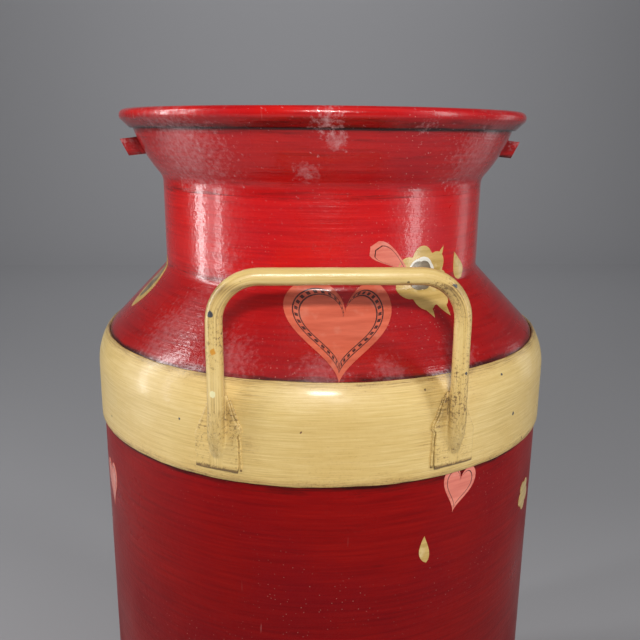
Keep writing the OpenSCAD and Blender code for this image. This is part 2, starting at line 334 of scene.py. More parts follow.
def arrange(tree, groups):
    """Sets out the nodes of each effect in a labelled frame, one frame under another."""
    for row, (effect, members) in enumerate(groups.items()):
        box = tree.nodes.new("NodeFrame")
        box.label = effect
        for column, node in enumerate(members):
            node.parent = box
            node.location = (column * 220, -row * 420)


def enamel(name, tones, bottom, top, glaze_and_shade, depth, wear=0.5, seed=0.0, gloss=0.16, coat=0.4,
           shine=0.5, rubs_and_sheen=()):
    """Glossy red enamel brushed on by hand and given an antique glaze: it runs round the can in fine
    streaks, dark glaze lies in the creases together with painted shade, and dust, scratches and dull
    patches show in its shine. glaze_and_shade and depth are (height, amount) stops from bottom to top:
    the first for the glaze and the painted shade in the creases, the second for painted shade, the red
    darker where less light falls; rubs_and_sheen are (place, reach, strength) of rubbed places and of
    painted sheen. All lengths are millimetres."""
    material = bpy.data.materials.new(name)
    material.use_nodes = True
    tree = material.node_tree
    nodes, links = tree.nodes, tree.links
    nodes.clear()

    place = nodes.new("ShaderNodeTexCoord")
    place.label = "Place on the can"
    along = nodes.new("ShaderNodeMapping")
    along.label = "Draw brush marks out round the can"
    along.inputs["Location"].default_value = (seed, 0, 0)
    along.inputs["Scale"].default_value = (26, 26, 620)
    streaks = nodes.new("ShaderNodeTexNoise")
    streaks.label = "Brush marks"
    streaks.inputs["Scale"].default_value = 1
    streaks.inputs["Detail"].default_value = 6
    streaks.inputs["Roughness"].default_value = 0.62
    reds = nodes.new("ShaderNodeValToRGB")
    reds.label = "Thin and thick paint"
    reds.color_ramp.elements[0].position = 0.18
    reds.color_ramp.elements[0].color = (*tones[0], 1)
    reds.color_ramp.elements[1].position = 0.82
    reds.color_ramp.elements[1].color = (*tones[2], 1)
    middle = reds.color_ramp.elements.new(0.5)
    middle.color = (*tones[1], 1)
    links.new(place.outputs["Object"], along.inputs["Vector"])
    links.new(along.outputs["Vector"], streaks.inputs["Vector"])
    links.new(streaks.outputs["Fac"], reds.inputs["Fac"])

    patches = nodes.new("ShaderNodeTexNoise")
    patches.label = "Cloudy patches"
    patches.inputs["Scale"].default_value = 17
    patches.inputs["Detail"].default_value = 5
    patches.inputs["Roughness"].default_value = 0.55
    cloud = nodes.new("ShaderNodeMapRange")
    cloud.label = "How cloudy"
    cloud.inputs["From Min"].default_value = 0.42
    cloud.inputs["From Max"].default_value = 0.70
    cloud.inputs["To Max"].default_value = 0.55
    # Painted sheen: in cloudy patches the red turns a purplish crimson, which stands in for a purplish
    # sheen on the enamel.
    clouded = nodes.new("ShaderNodeMix")
    clouded.label = "Painted purplish sheen in cloudy patches"
    clouded.data_type = "RGBA"
    clouded.inputs["B"].default_value = (*tones[3], 1)
    links.new(place.outputs["Object"], patches.inputs["Vector"])
    links.new(patches.outputs["Fac"], cloud.inputs["Value"])
    links.new(cloud.outputs["Result"], clouded.inputs["Factor"])
    links.new(reds.outputs["Color"], clouded.inputs["A"])

    broad = nodes.new("ShaderNodeMapping")
    broad.label = "Draw glaze streaks out round the can"
    broad.inputs["Location"].default_value = (0, seed, 0.3)
    broad.inputs["Scale"].default_value = (34, 34, 420)
    glaze_marks = nodes.new("ShaderNodeTexNoise")
    glaze_marks.label = "Glaze left by the cloth"
    glaze_marks.inputs["Scale"].default_value = 1
    glaze_marks.inputs["Detail"].default_value = 8
    glaze_marks.inputs["Roughness"].default_value = 0.68
    split = nodes.new("ShaderNodeSeparateXYZ")
    split.label = "Height"
    by_height = nodes.new("ShaderNodeMapRange")
    by_height.label = "Height on this piece"
    by_height.inputs["From Min"].default_value = bottom * MM
    by_height.inputs["From Max"].default_value = top * MM
    # Dark glaze and painted shade: these stops darken the creases, the underside of the rolled lip and
    # the body under the hoops.
    creases = nodes.new("ShaderNodeValToRGB")
    creases.label = "Dark glaze and painted shade in the creases"
    creases.color_ramp.elements[0].position = 0
    creases.color_ramp.elements[0].color = (glaze_and_shade[0][1],) * 3 + (1,)
    creases.color_ramp.elements[1].position = 1
    creases.color_ramp.elements[1].color = (glaze_and_shade[-1][1],) * 3 + (1,)
    for height, amount in glaze_and_shade[1:-1]:
        stop = creases.color_ramp.elements.new((height - bottom) / (top - bottom))
        stop.color = (amount, amount, amount, 1)
    gather = nodes.new("ShaderNodeMath")
    gather.label = "Glaze and painted shade gather in the creases"
    gather.operation = "MULTIPLY_ADD"
    gather.inputs[1].default_value = 0.52
    film = nodes.new("ShaderNodeMapRange")
    film.label = "Glaze and painted shade that show"
    film.inputs["From Min"].default_value = 0.64
    film.inputs["From Max"].default_value = 0.95
    film.inputs["To Max"].default_value = 0.92
    antiqued_and_shaded = nodes.new("ShaderNodeMix")
    antiqued_and_shaded.label = "Antiqued enamel with painted crease shade"
    antiqued_and_shaded.data_type = "RGBA"
    antiqued_and_shaded.inputs["B"].default_value = (0.030, 0.008, 0.007, 1)
    links.new(place.outputs["Object"], broad.inputs["Vector"])
    links.new(broad.outputs["Vector"], glaze_marks.inputs["Vector"])
    links.new(place.outputs["Object"], split.inputs["Vector"])
    links.new(split.outputs["Z"], by_height.inputs["Value"])
    links.new(by_height.outputs["Result"], creases.inputs["Fac"])
    links.new(creases.outputs["Color"], gather.inputs[0])
    links.new(glaze_marks.outputs["Fac"], gather.inputs[2])
    links.new(gather.outputs["Value"], film.inputs["Value"])
    links.new(film.outputs["Result"], antiqued_and_shaded.inputs["Factor"])
    links.new(clouded.outputs["Result"], antiqued_and_shaded.inputs["A"])

    grains = nodes.new("ShaderNodeTexVoronoi")
    grains.label = "Dust set in the paint"
    grains.inputs["Scale"].default_value = 430
    grain_size = nodes.new("ShaderNodeMapRange")
    grain_size.label = "Size of the specks"
    grain_size.inputs["From Min"].default_value = 0.14
    grain_size.inputs["From Max"].default_value = 0.06
    dusty = nodes.new("ShaderNodeMapRange")
    dusty.label = "Where the dust lies"
    dusty.inputs["From Min"].default_value = 0.50
    dusty.inputs["From Max"].default_value = 0.62
    dusty.inputs["To Max"].default_value = 0.7 * wear
    specks = nodes.new("ShaderNodeMath")
    specks.label = "Specks here and there"
    specks.operation = "MULTIPLY"
    # Painted shade: the red is darker lower on each piece and under the rolled lip, where less light
    # falls.
    shade = nodes.new("ShaderNodeValToRGB")
    shade.label = "Painted shade stops by height"
    shade.color_ramp.elements[0].position = 0
    shade.color_ramp.elements[0].color = (depth[0][1],) * 3 + (1,)
    shade.color_ramp.elements[1].position = 1
    shade.color_ramp.elements[1].color = (depth[-1][1],) * 3 + (1,)
    for height, amount in depth[1:-1]:
        stop = shade.color_ramp.elements.new((height - bottom) / (top - bottom))
        stop.color = (amount, amount, amount, 1)
    shaded = nodes.new("ShaderNodeMix")
    shaded.label = "Painted shade, darker red lower down"
    shaded.data_type = "RGBA"
    shaded.blend_type = "MULTIPLY"
    shaded.inputs["Factor"].default_value = 1
    links.new(by_height.outputs["Result"], shade.inputs["Fac"])
    links.new(antiqued_and_shaded.outputs["Result"], shaded.inputs["A"])
    links.new(shade.outputs["Color"], shaded.inputs["B"])
    specked = nodes.new("ShaderNodeMix")
    specked.label = "Pale specks"
    specked.data_type = "RGBA"
    specked.inputs["B"].default_value = (0.72, 0.36, 0.30, 1)
    links.new(place.outputs["Object"], grains.inputs["Vector"])
    links.new(grains.outputs["Distance"], grain_size.inputs["Value"])
    links.new(patches.outputs["Fac"], dusty.inputs["Value"])
    links.new(grain_size.outputs["Result"], specks.inputs[0])
    links.new(dusty.outputs["Result"], specks.inputs[1])
    links.new(specks.outputs["Value"], specked.inputs["Factor"])
    links.new(shaded.outputs["Result"], specked.inputs["A"])

    slant = nodes.new("ShaderNodeMapping")
    slant.label = "Turn scratches across the brush marks"
    slant.inputs["Rotation"].default_value = (0.5, 0.9, 0.7)
    slant.inputs["Scale"].default_value = (620, 45, 45)
    lines = nodes.new("ShaderNodeTexNoise")
    lines.label = "Scratches"
    lines.inputs["Scale"].default_value = 1
    lines.inputs["Detail"].default_value = 2
    cut = nodes.new("ShaderNodeMapRange")
    cut.label = "Only the deepest scratches"
    cut.inputs["From Min"].default_value = 0.76
    cut.inputs["From Max"].default_value = 0.82
    cut.inputs["To Max"].default_value = 0.4 * wear
    scratched = nodes.new("ShaderNodeMix")
    scratched.label = "Scratched enamel"
    scratched.data_type = "RGBA"
    scratched.inputs["B"].default_value = (0.66, 0.30, 0.26, 1)
    links.new(place.outputs["Object"], slant.inputs["Vector"])
    links.new(slant.outputs["Vector"], lines.inputs["Vector"])
    links.new(lines.outputs["Fac"], cut.inputs["Value"])
    links.new(cut.outputs["Result"], scratched.inputs["Factor"])
    links.new(specked.outputs["Result"], scratched.inputs["A"])

    ragged = nodes.new("ShaderNodeTexNoise")
    ragged.label = "Ragged rubbing"
    ragged.inputs["Scale"].default_value = 420
    ragged.inputs["Detail"].default_value = 5
    ragged.inputs["Roughness"].default_value = 0.7
    links.new(place.outputs["Object"], ragged.inputs["Vector"])
    worn, rubbed = [ragged], scratched
    # Pale chalky patches: rubbed paint, and painted sheen low on the front of the shoulder and on the
    # bowl.
    for spot, reach, strength in rubs_and_sheen:
        apart = nodes.new("ShaderNodeVectorMath")
        apart.label = "Distance from a rubbed place"
        apart.operation = "DISTANCE"
        apart.inputs[1].default_value = [c * MM for c in spot]
        fade = nodes.new("ShaderNodeMapRange")
        fade.label = "Rubbing fades out"
        fade.inputs["From Min"].default_value = reach * MM
        fade.inputs["From Max"].default_value = 0.2 * reach * MM
        fade.inputs["To Min"].default_value = -0.25
        fade.inputs["To Max"].default_value = 0.10
        broken = nodes.new("ShaderNodeMath")
        broken.label = "Break the rubbing up"
        broken.operation = "ADD"
        bare = nodes.new("ShaderNodeMapRange")
        bare.label = "Rubbed pale and painted sheen"
        bare.inputs["From Min"].default_value = 0.40
        bare.inputs["From Max"].default_value = 0.74
        bare.inputs["To Max"].default_value = strength
        chalky = nodes.new("ShaderNodeMix")
        chalky.label = "Chalky rubbed enamel and painted sheen"
        chalky.data_type = "RGBA"
        chalky.inputs["B"].default_value = (0.60, 0.33, 0.34, 1)
        links.new(place.outputs["Object"], apart.inputs[0])
        links.new(apart.outputs["Value"], fade.inputs["Value"])
        links.new(fade.outputs["Result"], broken.inputs[0])
        links.new(ragged.outputs["Fac"], broken.inputs[1])
        links.new(broken.outputs["Value"], bare.inputs["Value"])
        links.new(bare.outputs["Result"], chalky.inputs["Factor"])
        links.new(rubbed.outputs["Result"], chalky.inputs["A"])
        worn += [apart, fade, broken, bare, chalky]
        rubbed = chalky

    fine = nodes.new("ShaderNodeMapping")
    fine.label = "Draw bristle marks out round the can"
    fine.inputs["Scale"].default_value = (26, 26, 1300)
    bristles = nodes.new("ShaderNodeTexNoise")
    bristles.label = "Bristle marks"
    bristles.inputs["Scale"].default_value = 1
    bristles.inputs["Detail"].default_value = 3
    peel = nodes.new("ShaderNodeTexNoise")
    peel.label = "Orange peel"
    peel.inputs["Scale"].default_value = 430
    peel.inputs["Detail"].default_value = 2
    ridges = nodes.new("ShaderNodeBump")
    ridges.label = "Bristle marks stand up"
    ridges.inputs["Strength"].default_value = 0.55
    ridges.inputs["Distance"].default_value = 0.00016
    skin = nodes.new("ShaderNodeBump")
    skin.label = "Skin of the paint"
    skin.inputs["Strength"].default_value = 0.55
    skin.inputs["Distance"].default_value = 0.00022
    dull = nodes.new("ShaderNodeMapRange")
    dull.label = "Dull and shiny patches"
    dull.inputs["From Min"].default_value = 0.30
    dull.inputs["From Max"].default_value = 0.72
    dull.inputs["To Min"].default_value = gloss
    dull.inputs["To Max"].default_value = gloss + 0.24
    links.new(place.outputs["Object"], fine.inputs["Vector"])
    links.new(fine.outputs["Vector"], bristles.inputs["Vector"])
    links.new(place.outputs["Object"], peel.inputs["Vector"])
    links.new(bristles.outputs["Fac"], ridges.inputs["Height"])
    links.new(peel.outputs["Fac"], skin.inputs["Height"])
    links.new(ridges.outputs["Normal"], skin.inputs["Normal"])
    links.new(patches.outputs["Fac"], dull.inputs["Value"])

    paint = nodes.new("ShaderNodeBsdfPrincipled")
    paint.label = "Red enamel"
    paint.inputs["IOR"].default_value = 1.48
    paint.inputs["Specular IOR Level"].default_value = shine
    paint.inputs["Coat Weight"].default_value = coat
    paint.inputs["Coat Roughness"].default_value = 0.05
    surface = nodes.new("ShaderNodeOutputMaterial")
    surface.label = "Surface"
    links.new(rubbed.outputs["Result"], paint.inputs["Base Color"])
    links.new(dull.outputs["Result"], paint.inputs["Roughness"])
    links.new(skin.outputs["Normal"], paint.inputs["Normal"])
    links.new(skin.outputs["Normal"], paint.inputs["Coat Normal"])
    links.new(paint.outputs["BSDF"], surface.inputs["Surface"])

    arrange(tree, {
        "Brushed red": (place, along, streaks, reds),
        "Cloudy painted sheen": (patches, cloud, clouded),
        "Antique glaze and painted crease shade": (broad, glaze_marks, split, by_height, creases, gather, film, antiqued_and_shaded),
        "Painted shade by height": (shade, shaded),
        "Dust": (grains, grain_size, dusty, specks, specked),
        "Scratches": (slant, lines, cut, scratched),
        "Rubbed places and painted sheen": worn,
        "Relief and gloss": (fine, bristles, peel, ridges, skin, dull),
        "Enamel": (paint, surface),
    })
    return material


def cream_glaze(name, tones, bottom, top, glaze_and_shade, stretch, follow=None, dark_patches=(), chips=(), gloss=0.3,
                edge_glaze_and_shade=0.34, stipple=0.10):
    """Cream paint under a brown glaze that was wiped along the brush marks. glaze_and_shade are (height,
    amount) stops from bottom to top, for glaze and painted shade at the edges and undersides; follow
    names the attribute that runs along a rod; dark_patches are (place, radius, amount) of darker glaze
    patches and chips (place, radius, colour), in millimetres."""
    material = bpy.data.materials.new(name)
    material.use_nodes = True
    tree = material.node_tree
    nodes, links = tree.nodes, tree.links
    nodes.clear()

    place = nodes.new("ShaderNodeTexCoord")
    place.label = "Place on the can"
    place_nodes, course = [place], place.outputs["Object"]
    if follow:
        path = nodes.new("ShaderNodeAttribute")
        path.label = "Place along the rod"
        path.attribute_name = follow
        place_nodes, course = [place, path], path.outputs["Vector"]
    along = nodes.new("ShaderNodeMapping")
    along.label = "Draw brush marks out"
    along.inputs["Scale"].default_value = stretch
    streaks = nodes.new("ShaderNodeTexNoise")
    streaks.label = "Brush marks"
    streaks.inputs["Scale"].default_value = 1
    streaks.inputs["Detail"].default_value = 6
    streaks.inputs["Roughness"].default_value = 0.65
    creams = nodes.new("ShaderNodeValToRGB")
    creams.label = "Thin and thick paint"
    creams.color_ramp.elements[0].position = 0.27
    creams.color_ramp.elements[0].color = (*tones[0], 1)
    creams.color_ramp.elements[1].position = 0.70
    creams.color_ramp.elements[1].color = (*tones[2], 1)
    middle = creams.color_ramp.elements.new(0.46)
    middle.color = (*tones[1], 1)
    links.new(course, along.inputs["Vector"])
    links.new(along.outputs["Vector"], streaks.inputs["Vector"])
    links.new(streaks.outputs["Fac"], creams.inputs["Fac"])

    patches = nodes.new("ShaderNodeTexNoise")
    patches.label = "Cloudy patches"
    patches.inputs["Scale"].default_value = 26
    patches.inputs["Detail"].default_value = 5
    patches.inputs["Roughness"].default_value = 0.6
    cloud = nodes.new("ShaderNodeMapRange")
    cloud.label = "How cloudy"
    cloud.inputs["From Min"].default_value = 0.42
    cloud.inputs["From Max"].default_value = 0.72
    cloud.inputs["To Max"].default_value = 0.6
    clouded = nodes.new("ShaderNodeMix")
    clouded.label = "Ochre where the glaze stayed"
    clouded.data_type = "RGBA"
    clouded.inputs["B"].default_value = (*tones[3], 1)
    links.new(place.outputs["Object"], patches.inputs["Vector"])
    links.new(patches.outputs["Fac"], cloud.inputs["Value"])
    links.new(cloud.outputs["Result"], clouded.inputs["Factor"])
    links.new(creams.outputs["Color"], clouded.inputs["A"])

    hairs = nodes.new("ShaderNodeMapping")
    hairs.label = "Draw glaze hairs out"
    hairs.inputs["Location"].default_value = (0.7, 0.2, 0.1)
    hairs.inputs["Scale"].default_value = tuple(2.1 * s for s in stretch)
    hair_marks = nodes.new("ShaderNodeTexNoise")
    hair_marks.label = "Fine glaze hairs"
    hair_marks.inputs["Scale"].default_value = 1
    hair_marks.inputs["Detail"].default_value = 7
    hair_marks.inputs["Roughness"].default_value = 0.7
    split = nodes.new("ShaderNodeSeparateXYZ")
    split.label = "Height"
    by_height = nodes.new("ShaderNodeMapRange")
    by_height.label = "Height on this piece"
    by_height.inputs["From Min"].default_value = bottom * MM
    by_height.inputs["From Max"].default_value = top * MM
    # Glaze and painted shade by height: these stops darken the edges and the undersides, such as the rod
    # under the bar.
    edges = nodes.new("ShaderNodeValToRGB")
    edges.label = "Glaze and painted shade along the edges"
    edges.color_ramp.elements[0].position = 0
    edges.color_ramp.elements[0].color = (glaze_and_shade[0][1],) * 3 + (1,)
    edges.color_ramp.elements[1].position = 1
    edges.color_ramp.elements[1].color = (glaze_and_shade[-1][1],) * 3 + (1,)
    for height, amount in glaze_and_shade[1:-1]:
        stop = edges.color_ramp.elements.new((height - bottom) / (top - bottom))
        stop.color = (amount, amount, amount, 1)
    gather = nodes.new("ShaderNodeMath")
    gather.label = "Glaze and painted shade gather at the edges"
    gather.operation = "MULTIPLY_ADD"
    gather.inputs[1].default_value = edge_glaze_and_shade
    links.new(course, hairs.inputs["Vector"])
    links.new(hairs.outputs["Vector"], hair_marks.inputs["Vector"])
    links.new(place.outputs["Object"], split.inputs["Vector"])
    links.new(split.outputs["Z"], by_height.inputs["Value"])
    links.new(by_height.outputs["Result"], edges.inputs["Fac"])
    links.new(edges.outputs["Color"], gather.inputs[0])
    links.new(hair_marks.outputs["Fac"], gather.inputs[2])
    dabs = nodes.new("ShaderNodeTexNoise")
    dabs.label = "Stippled glaze"
    dabs.inputs["Scale"].default_value = 700
    dabs.inputs["Detail"].default_value = 4
    dabs.inputs["Roughness"].default_value = 0.7
    dabbed = nodes.new("ShaderNodeMapRange")
    dabbed.label = "Only the thick dabs"
    dabbed.inputs["From Min"].default_value = 0.50
    dabbed.inputs["From Max"].default_value = 0.64
    where = nodes.new("ShaderNodeMapRange")
    where.label = "Where it was stippled"
    where.inputs["From Min"].default_value = 0.44
    where.inputs["From Max"].default_value = 0.62
    where.inputs["To Max"].default_value = stipple
    stippled = nodes.new("ShaderNodeMath")
    stippled.label = "Dabs over the glaze hairs"
    stippled.operation = "MULTIPLY_ADD"
    links.new(place.outputs["Object"], dabs.inputs["Vector"])
    links.new(dabs.outputs["Fac"], dabbed.inputs["Value"])
    links.new(patches.outputs["Fac"], where.inputs["Value"])
    links.new(dabbed.outputs["Result"], stippled.inputs[0])
    links.new(where.outputs["Result"], stippled.inputs[1])
    links.new(gather.outputs["Value"], stippled.inputs[2])
    glaze_height = stippled.outputs["Value"]

    quarter = nodes.new("ShaderNodeVectorMath")
    quarter.label = "One quarter stands for all four feet"
    quarter.operation = "ABSOLUTE"
    links.new(place.outputs["Object"], quarter.inputs[0])
    dark_patch_nodes = [quarter]
    for spot, radius, amount in dark_patches:
        away = nodes.new("ShaderNodeVectorMath")
        away.label = "Distance from a dark patch"
        away.operation = "DISTANCE"
        away.inputs[1].default_value = Vector(spot) * MM
        soft = nodes.new("ShaderNodeMapRange")
        soft.label = "Soft edge of the dark patch"
        soft.inputs["From Min"].default_value = radius * MM
        soft.inputs["From Max"].default_value = 0
        soft.inputs["To Max"].default_value = amount
        heap = nodes.new("ShaderNodeMath")
        heap.label = "Dark patch on top of the glaze"
        heap.operation = "ADD"
        links.new(quarter.outputs["Vector"], away.inputs[0])
        links.new(away.outputs["Value"], soft.inputs["Value"])
        links.new(glaze_height, heap.inputs[0])
        links.new(soft.outputs["Result"], heap.inputs[1])
        glaze_height = heap.outputs["Value"]
        dark_patch_nodes += [away, soft, heap]

    # The brown film is glaze, and also painted shade at the edges and undersides.
    film = nodes.new("ShaderNodeMapRange")
    film.label = "Glaze and painted shade that show"
    film.inputs["From Min"].default_value = 0.59
    film.inputs["From Max"].default_value = 0.92
    film.inputs["To Max"].default_value = 0.9
    brown = nodes.new("ShaderNodeValToRGB")
    brown.label = "Ochre to brown glaze"
    brown.color_ramp.elements[0].color = (0.42, 0.22, 0.045, 1)
    brown.color_ramp.elements[1].color = (0.10, 0.055, 0.022, 1)
    glazed = nodes.new("ShaderNodeMix")
    glazed.label = "Glazed cream"
    glazed.data_type = "RGBA"
    links.new(glaze_height, film.inputs["Value"])
    links.new(film.outputs["Result"], brown.inputs["Fac"])
    links.new(film.outputs["Result"], glazed.inputs["Factor"])
    links.new(clouded.outputs["Result"], glazed.inputs["A"])
    links.new(brown.outputs["Color"], glazed.inputs["B"])

    grains = nodes.new("ShaderNodeTexVoronoi")
    grains.label = "Fly specks"
    grains.inputs["Scale"].default_value = 62
    grain_size = nodes.new("ShaderNodeMapRange")
    grain_size.label = "Size of the specks"
    grain_size.inputs["From Min"].default_value = 0.050
    grain_size.inputs["From Max"].default_value = 0.034
    grain_size.inputs["To Max"].default_value = 0.8
    specked = nodes.new("ShaderNodeMix")
    specked.label = "Specked cream"
    specked.data_type = "RGBA"
    specked.inputs["B"].default_value = (0.06, 0.035, 0.02, 1)
    links.new(place.outputs["Object"], grains.inputs["Vector"])
    links.new(grains.outputs["Distance"], grain_size.inputs["Value"])
    links.new(grain_size.outputs["Result"], specked.inputs["Factor"])
    links.new(glazed.outputs["Result"], specked.inputs["A"])
    colour = specked.outputs["Result"]

    ragged = nodes.new("ShaderNodeTexNoise")
    ragged.label = "Ragged edge of the chips"
    ragged.inputs["Scale"].default_value = 380
    ragged.inputs["Detail"].default_value = 2
    shaken = nodes.new("ShaderNodeVectorMath")
    shaken.label = "Shake the outline of the chips"
    shaken.operation = "MULTIPLY_ADD"
    shaken.inputs[1].default_value = (0.0022, 0.0022, 0.0022)
    links.new(place.outputs["Object"], ragged.inputs["Vector"])
    links.new(ragged.outputs["Color"], shaken.inputs[0])
    links.new(place.outputs["Object"], shaken.inputs[2])
    chip_nodes = [ragged, shaken]
    for spot, radius, tone in chips:
        away = nodes.new("ShaderNodeVectorMath")
        away.label = "Distance from a chip"
        away.operation = "DISTANCE"
        away.inputs[1].default_value = (Vector(spot) + Vector((1.1, 1.1, 1.1))) * MM
        hole = nodes.new("ShaderNodeMapRange")
        hole.label = "Edge of the chip"
        hole.inputs["From Min"].default_value = radius * MM
        hole.inputs["From Max"].default_value = (radius - 0.35) * MM
        bare = nodes.new("ShaderNodeMix")
        bare.label = "Chip down to the layer below"
        bare.data_type = "RGBA"
        bare.inputs["B"].default_value = (*tone, 1)
        links.new(shaken.outputs["Vector"], away.inputs[0])
        links.new(away.outputs["Value"], hole.inputs["Value"])
        links.new(hole.outputs["Result"], bare.inputs["Factor"])
        links.new(colour, bare.inputs["A"])
        colour = bare.outputs["Result"]
        chip_nodes += [away, hole, bare]

    peel = nodes.new("ShaderNodeTexNoise")
    peel.label = "Lumps under the paint"
    peel.inputs["Scale"].default_value = 240
    peel.inputs["Detail"].default_value = 3
    ridges = nodes.new("ShaderNodeBump")
    ridges.label = "Bristle marks stand up"
    ridges.inputs["Strength"].default_value = 0.5
    ridges.inputs["Distance"].default_value = 0.00025
    skin = nodes.new("ShaderNodeBump")
    skin.label = "Skin of the paint"
    skin.inputs["Strength"].default_value = 0.4
    skin.inputs["Distance"].default_value = 0.0003
    dull = nodes.new("ShaderNodeMapRange")
    dull.label = "Dull and shiny patches"
    dull.inputs["From Min"].default_value = 0.30
    dull.inputs["From Max"].default_value = 0.72
    dull.inputs["To Min"].default_value = gloss
    dull.inputs["To Max"].default_value = gloss + 0.25
    links.new(place.outputs["Object"], peel.inputs["Vector"])
    links.new(hair_marks.outputs["Fac"], ridges.inputs["Height"])
    links.new(peel.outputs["Fac"], skin.inputs["Height"])
    links.new(ridges.outputs["Normal"], skin.inputs["Normal"])
    links.new(patches.outputs["Fac"], dull.inputs["Value"])

    paint = nodes.new("ShaderNodeBsdfPrincipled")
    paint.label = "Glazed cream paint"
    paint.inputs["IOR"].default_value = 1.5
    paint.inputs["Coat Weight"].default_value = 0.25
    paint.inputs["Coat Roughness"].default_value = 0.16
    surface = nodes.new("ShaderNodeOutputMaterial")
    surface.label = "Surface"
    links.new(colour, paint.inputs["Base Color"])
    links.new(dull.outputs["Result"], paint.inputs["Roughness"])
    links.new(skin.outputs["Normal"], paint.inputs["Normal"])
    links.new(paint.outputs["BSDF"], surface.inputs["Surface"])

    arrange(tree, {
        "Brushed cream": place_nodes + [along, streaks, creams],
        "Cloudy glaze": (patches, cloud, clouded),
        "Glaze hairs, and glaze and painted shade at the edges": (hairs, hair_marks, split, by_height, edges, gather),
        "Stippled glaze": (dabs, dabbed, where, stippled),
        "Dark patches": dark_patch_nodes,
        "Brown glaze": (film, brown, glazed),
        "Fly specks": (grains, grain_size, specked),
        "Chips": chip_nodes,
        "Relief and gloss": (peel, ridges, skin, dull),
        "Paint": (paint, surface),
    })
    return material


def tinned_steel(name, stretch, rough=0.34):
    """Dull tinned steel with wiping marks, cloudy oxide and a few rust spots."""
    material = bpy.data.materials.new(name)
    material.use_nodes = True
    tree = material.node_tree
    nodes, links = tree.nodes, tree.links
    nodes.clear()

    place = nodes.new("ShaderNodeTexCoord")
    place.label = "Place on the can"
    along = nodes.new("ShaderNodeMapping")
    along.label = "Draw wiping marks out"
    along.inputs["Scale"].default_value = stretch
    marks = nodes.new("ShaderNodeTexNoise")
    marks.label = "Wiping marks"
    marks.inputs["Scale"].default_value = 1
    marks.inputs["Detail"].default_value = 5
    greys = nodes.new("ShaderNodeValToRGB")
    greys.label = "Bright and dull tin"
    greys.color_ramp.elements[0].position = 0.3
    greys.color_ramp.elements[0].color = (0.30, 0.30, 0.29, 1)
    greys.color_ramp.elements[1].position = 0.7
    greys.color_ramp.elements[1].color = (0.56, 0.56, 0.54, 1)
    clouds = nodes.new("ShaderNodeTexNoise")
    clouds.label = "Clouds of oxide"
    clouds.inputs["Scale"].default_value = 24
    clouds.inputs["Detail"].default_value = 6
    rust = nodes.new("ShaderNodeMapRange")
    rust.label = "Where rust shows"
    rust.inputs["From Min"].default_value = 0.60
    rust.inputs["From Max"].default_value = 0.72
    rust.inputs["To Max"].default_value = 0.75
    rusty = nodes.new("ShaderNodeMix")
    rusty.label = "Rust spots"
    rusty.data_type = "RGBA"
    rusty.inputs["B"].default_value = (0.17, 0.075, 0.03, 1)
    metal = nodes.new("ShaderNodeMapRange")
    metal.label = "Rust is not metal"
    metal.inputs["From Min"].default_value = 0.60
    metal.inputs["From Max"].default_value = 0.72
    metal.inputs["To Min"].default_value = 0.9
    metal.inputs["To Max"].default_value = 0.15
    dull = nodes.new("ShaderNodeMapRange")
    dull.label = "Dull and shiny patches"
    dull.inputs["From Min"].default_value = 0.3
    dull.inputs["From Max"].default_value = 0.7
    dull.inputs["To Min"].default_value = rough
    dull.inputs["To Max"].default_value = rough + 0.3
    relief = nodes.new("ShaderNodeBump")
    relief.label = "Wiping marks and pits"
    relief.inputs["Strength"].default_value = 0.35
    relief.inputs["Distance"].default_value = 0.0002
    steel = nodes.new("ShaderNodeBsdfPrincipled")
    steel.label = "Tinned steel"
    surface = nodes.new("ShaderNodeOutputMaterial")
    surface.label = "Surface"
    links.new(place.outputs["Object"], along.inputs["Vector"])
    links.new(along.outputs["Vector"], marks.inputs["Vector"])
    links.new(marks.outputs["Fac"], greys.inputs["Fac"])
    links.new(place.outputs["Object"], clouds.inputs["Vector"])
    links.new(clouds.outputs["Fac"], rust.inputs["Value"])
    links.new(rust.outputs["Result"], rusty.inputs["Factor"])
    links.new(greys.outputs["Color"], rusty.inputs["A"])
    links.new(clouds.outputs["Fac"], metal.inputs["Value"])
    links.new(clouds.outputs["Fac"], dull.inputs["Value"])
    links.new(marks.outputs["Fac"], relief.inputs["Height"])
    links.new(rusty.outputs["Result"], steel.inputs["Base Color"])
    links.new(metal.outputs["Result"], steel.inputs["Metallic"])
    links.new(dull.outputs["Result"], steel.inputs["Roughness"])
    links.new(relief.outputs["Normal"], steel.inputs["Normal"])
    links.new(steel.outputs["BSDF"], surface.inputs["Surface"])
    arrange(tree, {
        "Wiped tin": (place, along, marks, greys),
        "Rust": (clouds, rust, rusty, metal),
        "Relief and gloss": (dull, relief),
        "Steel": (steel, surface),
    })
    return material


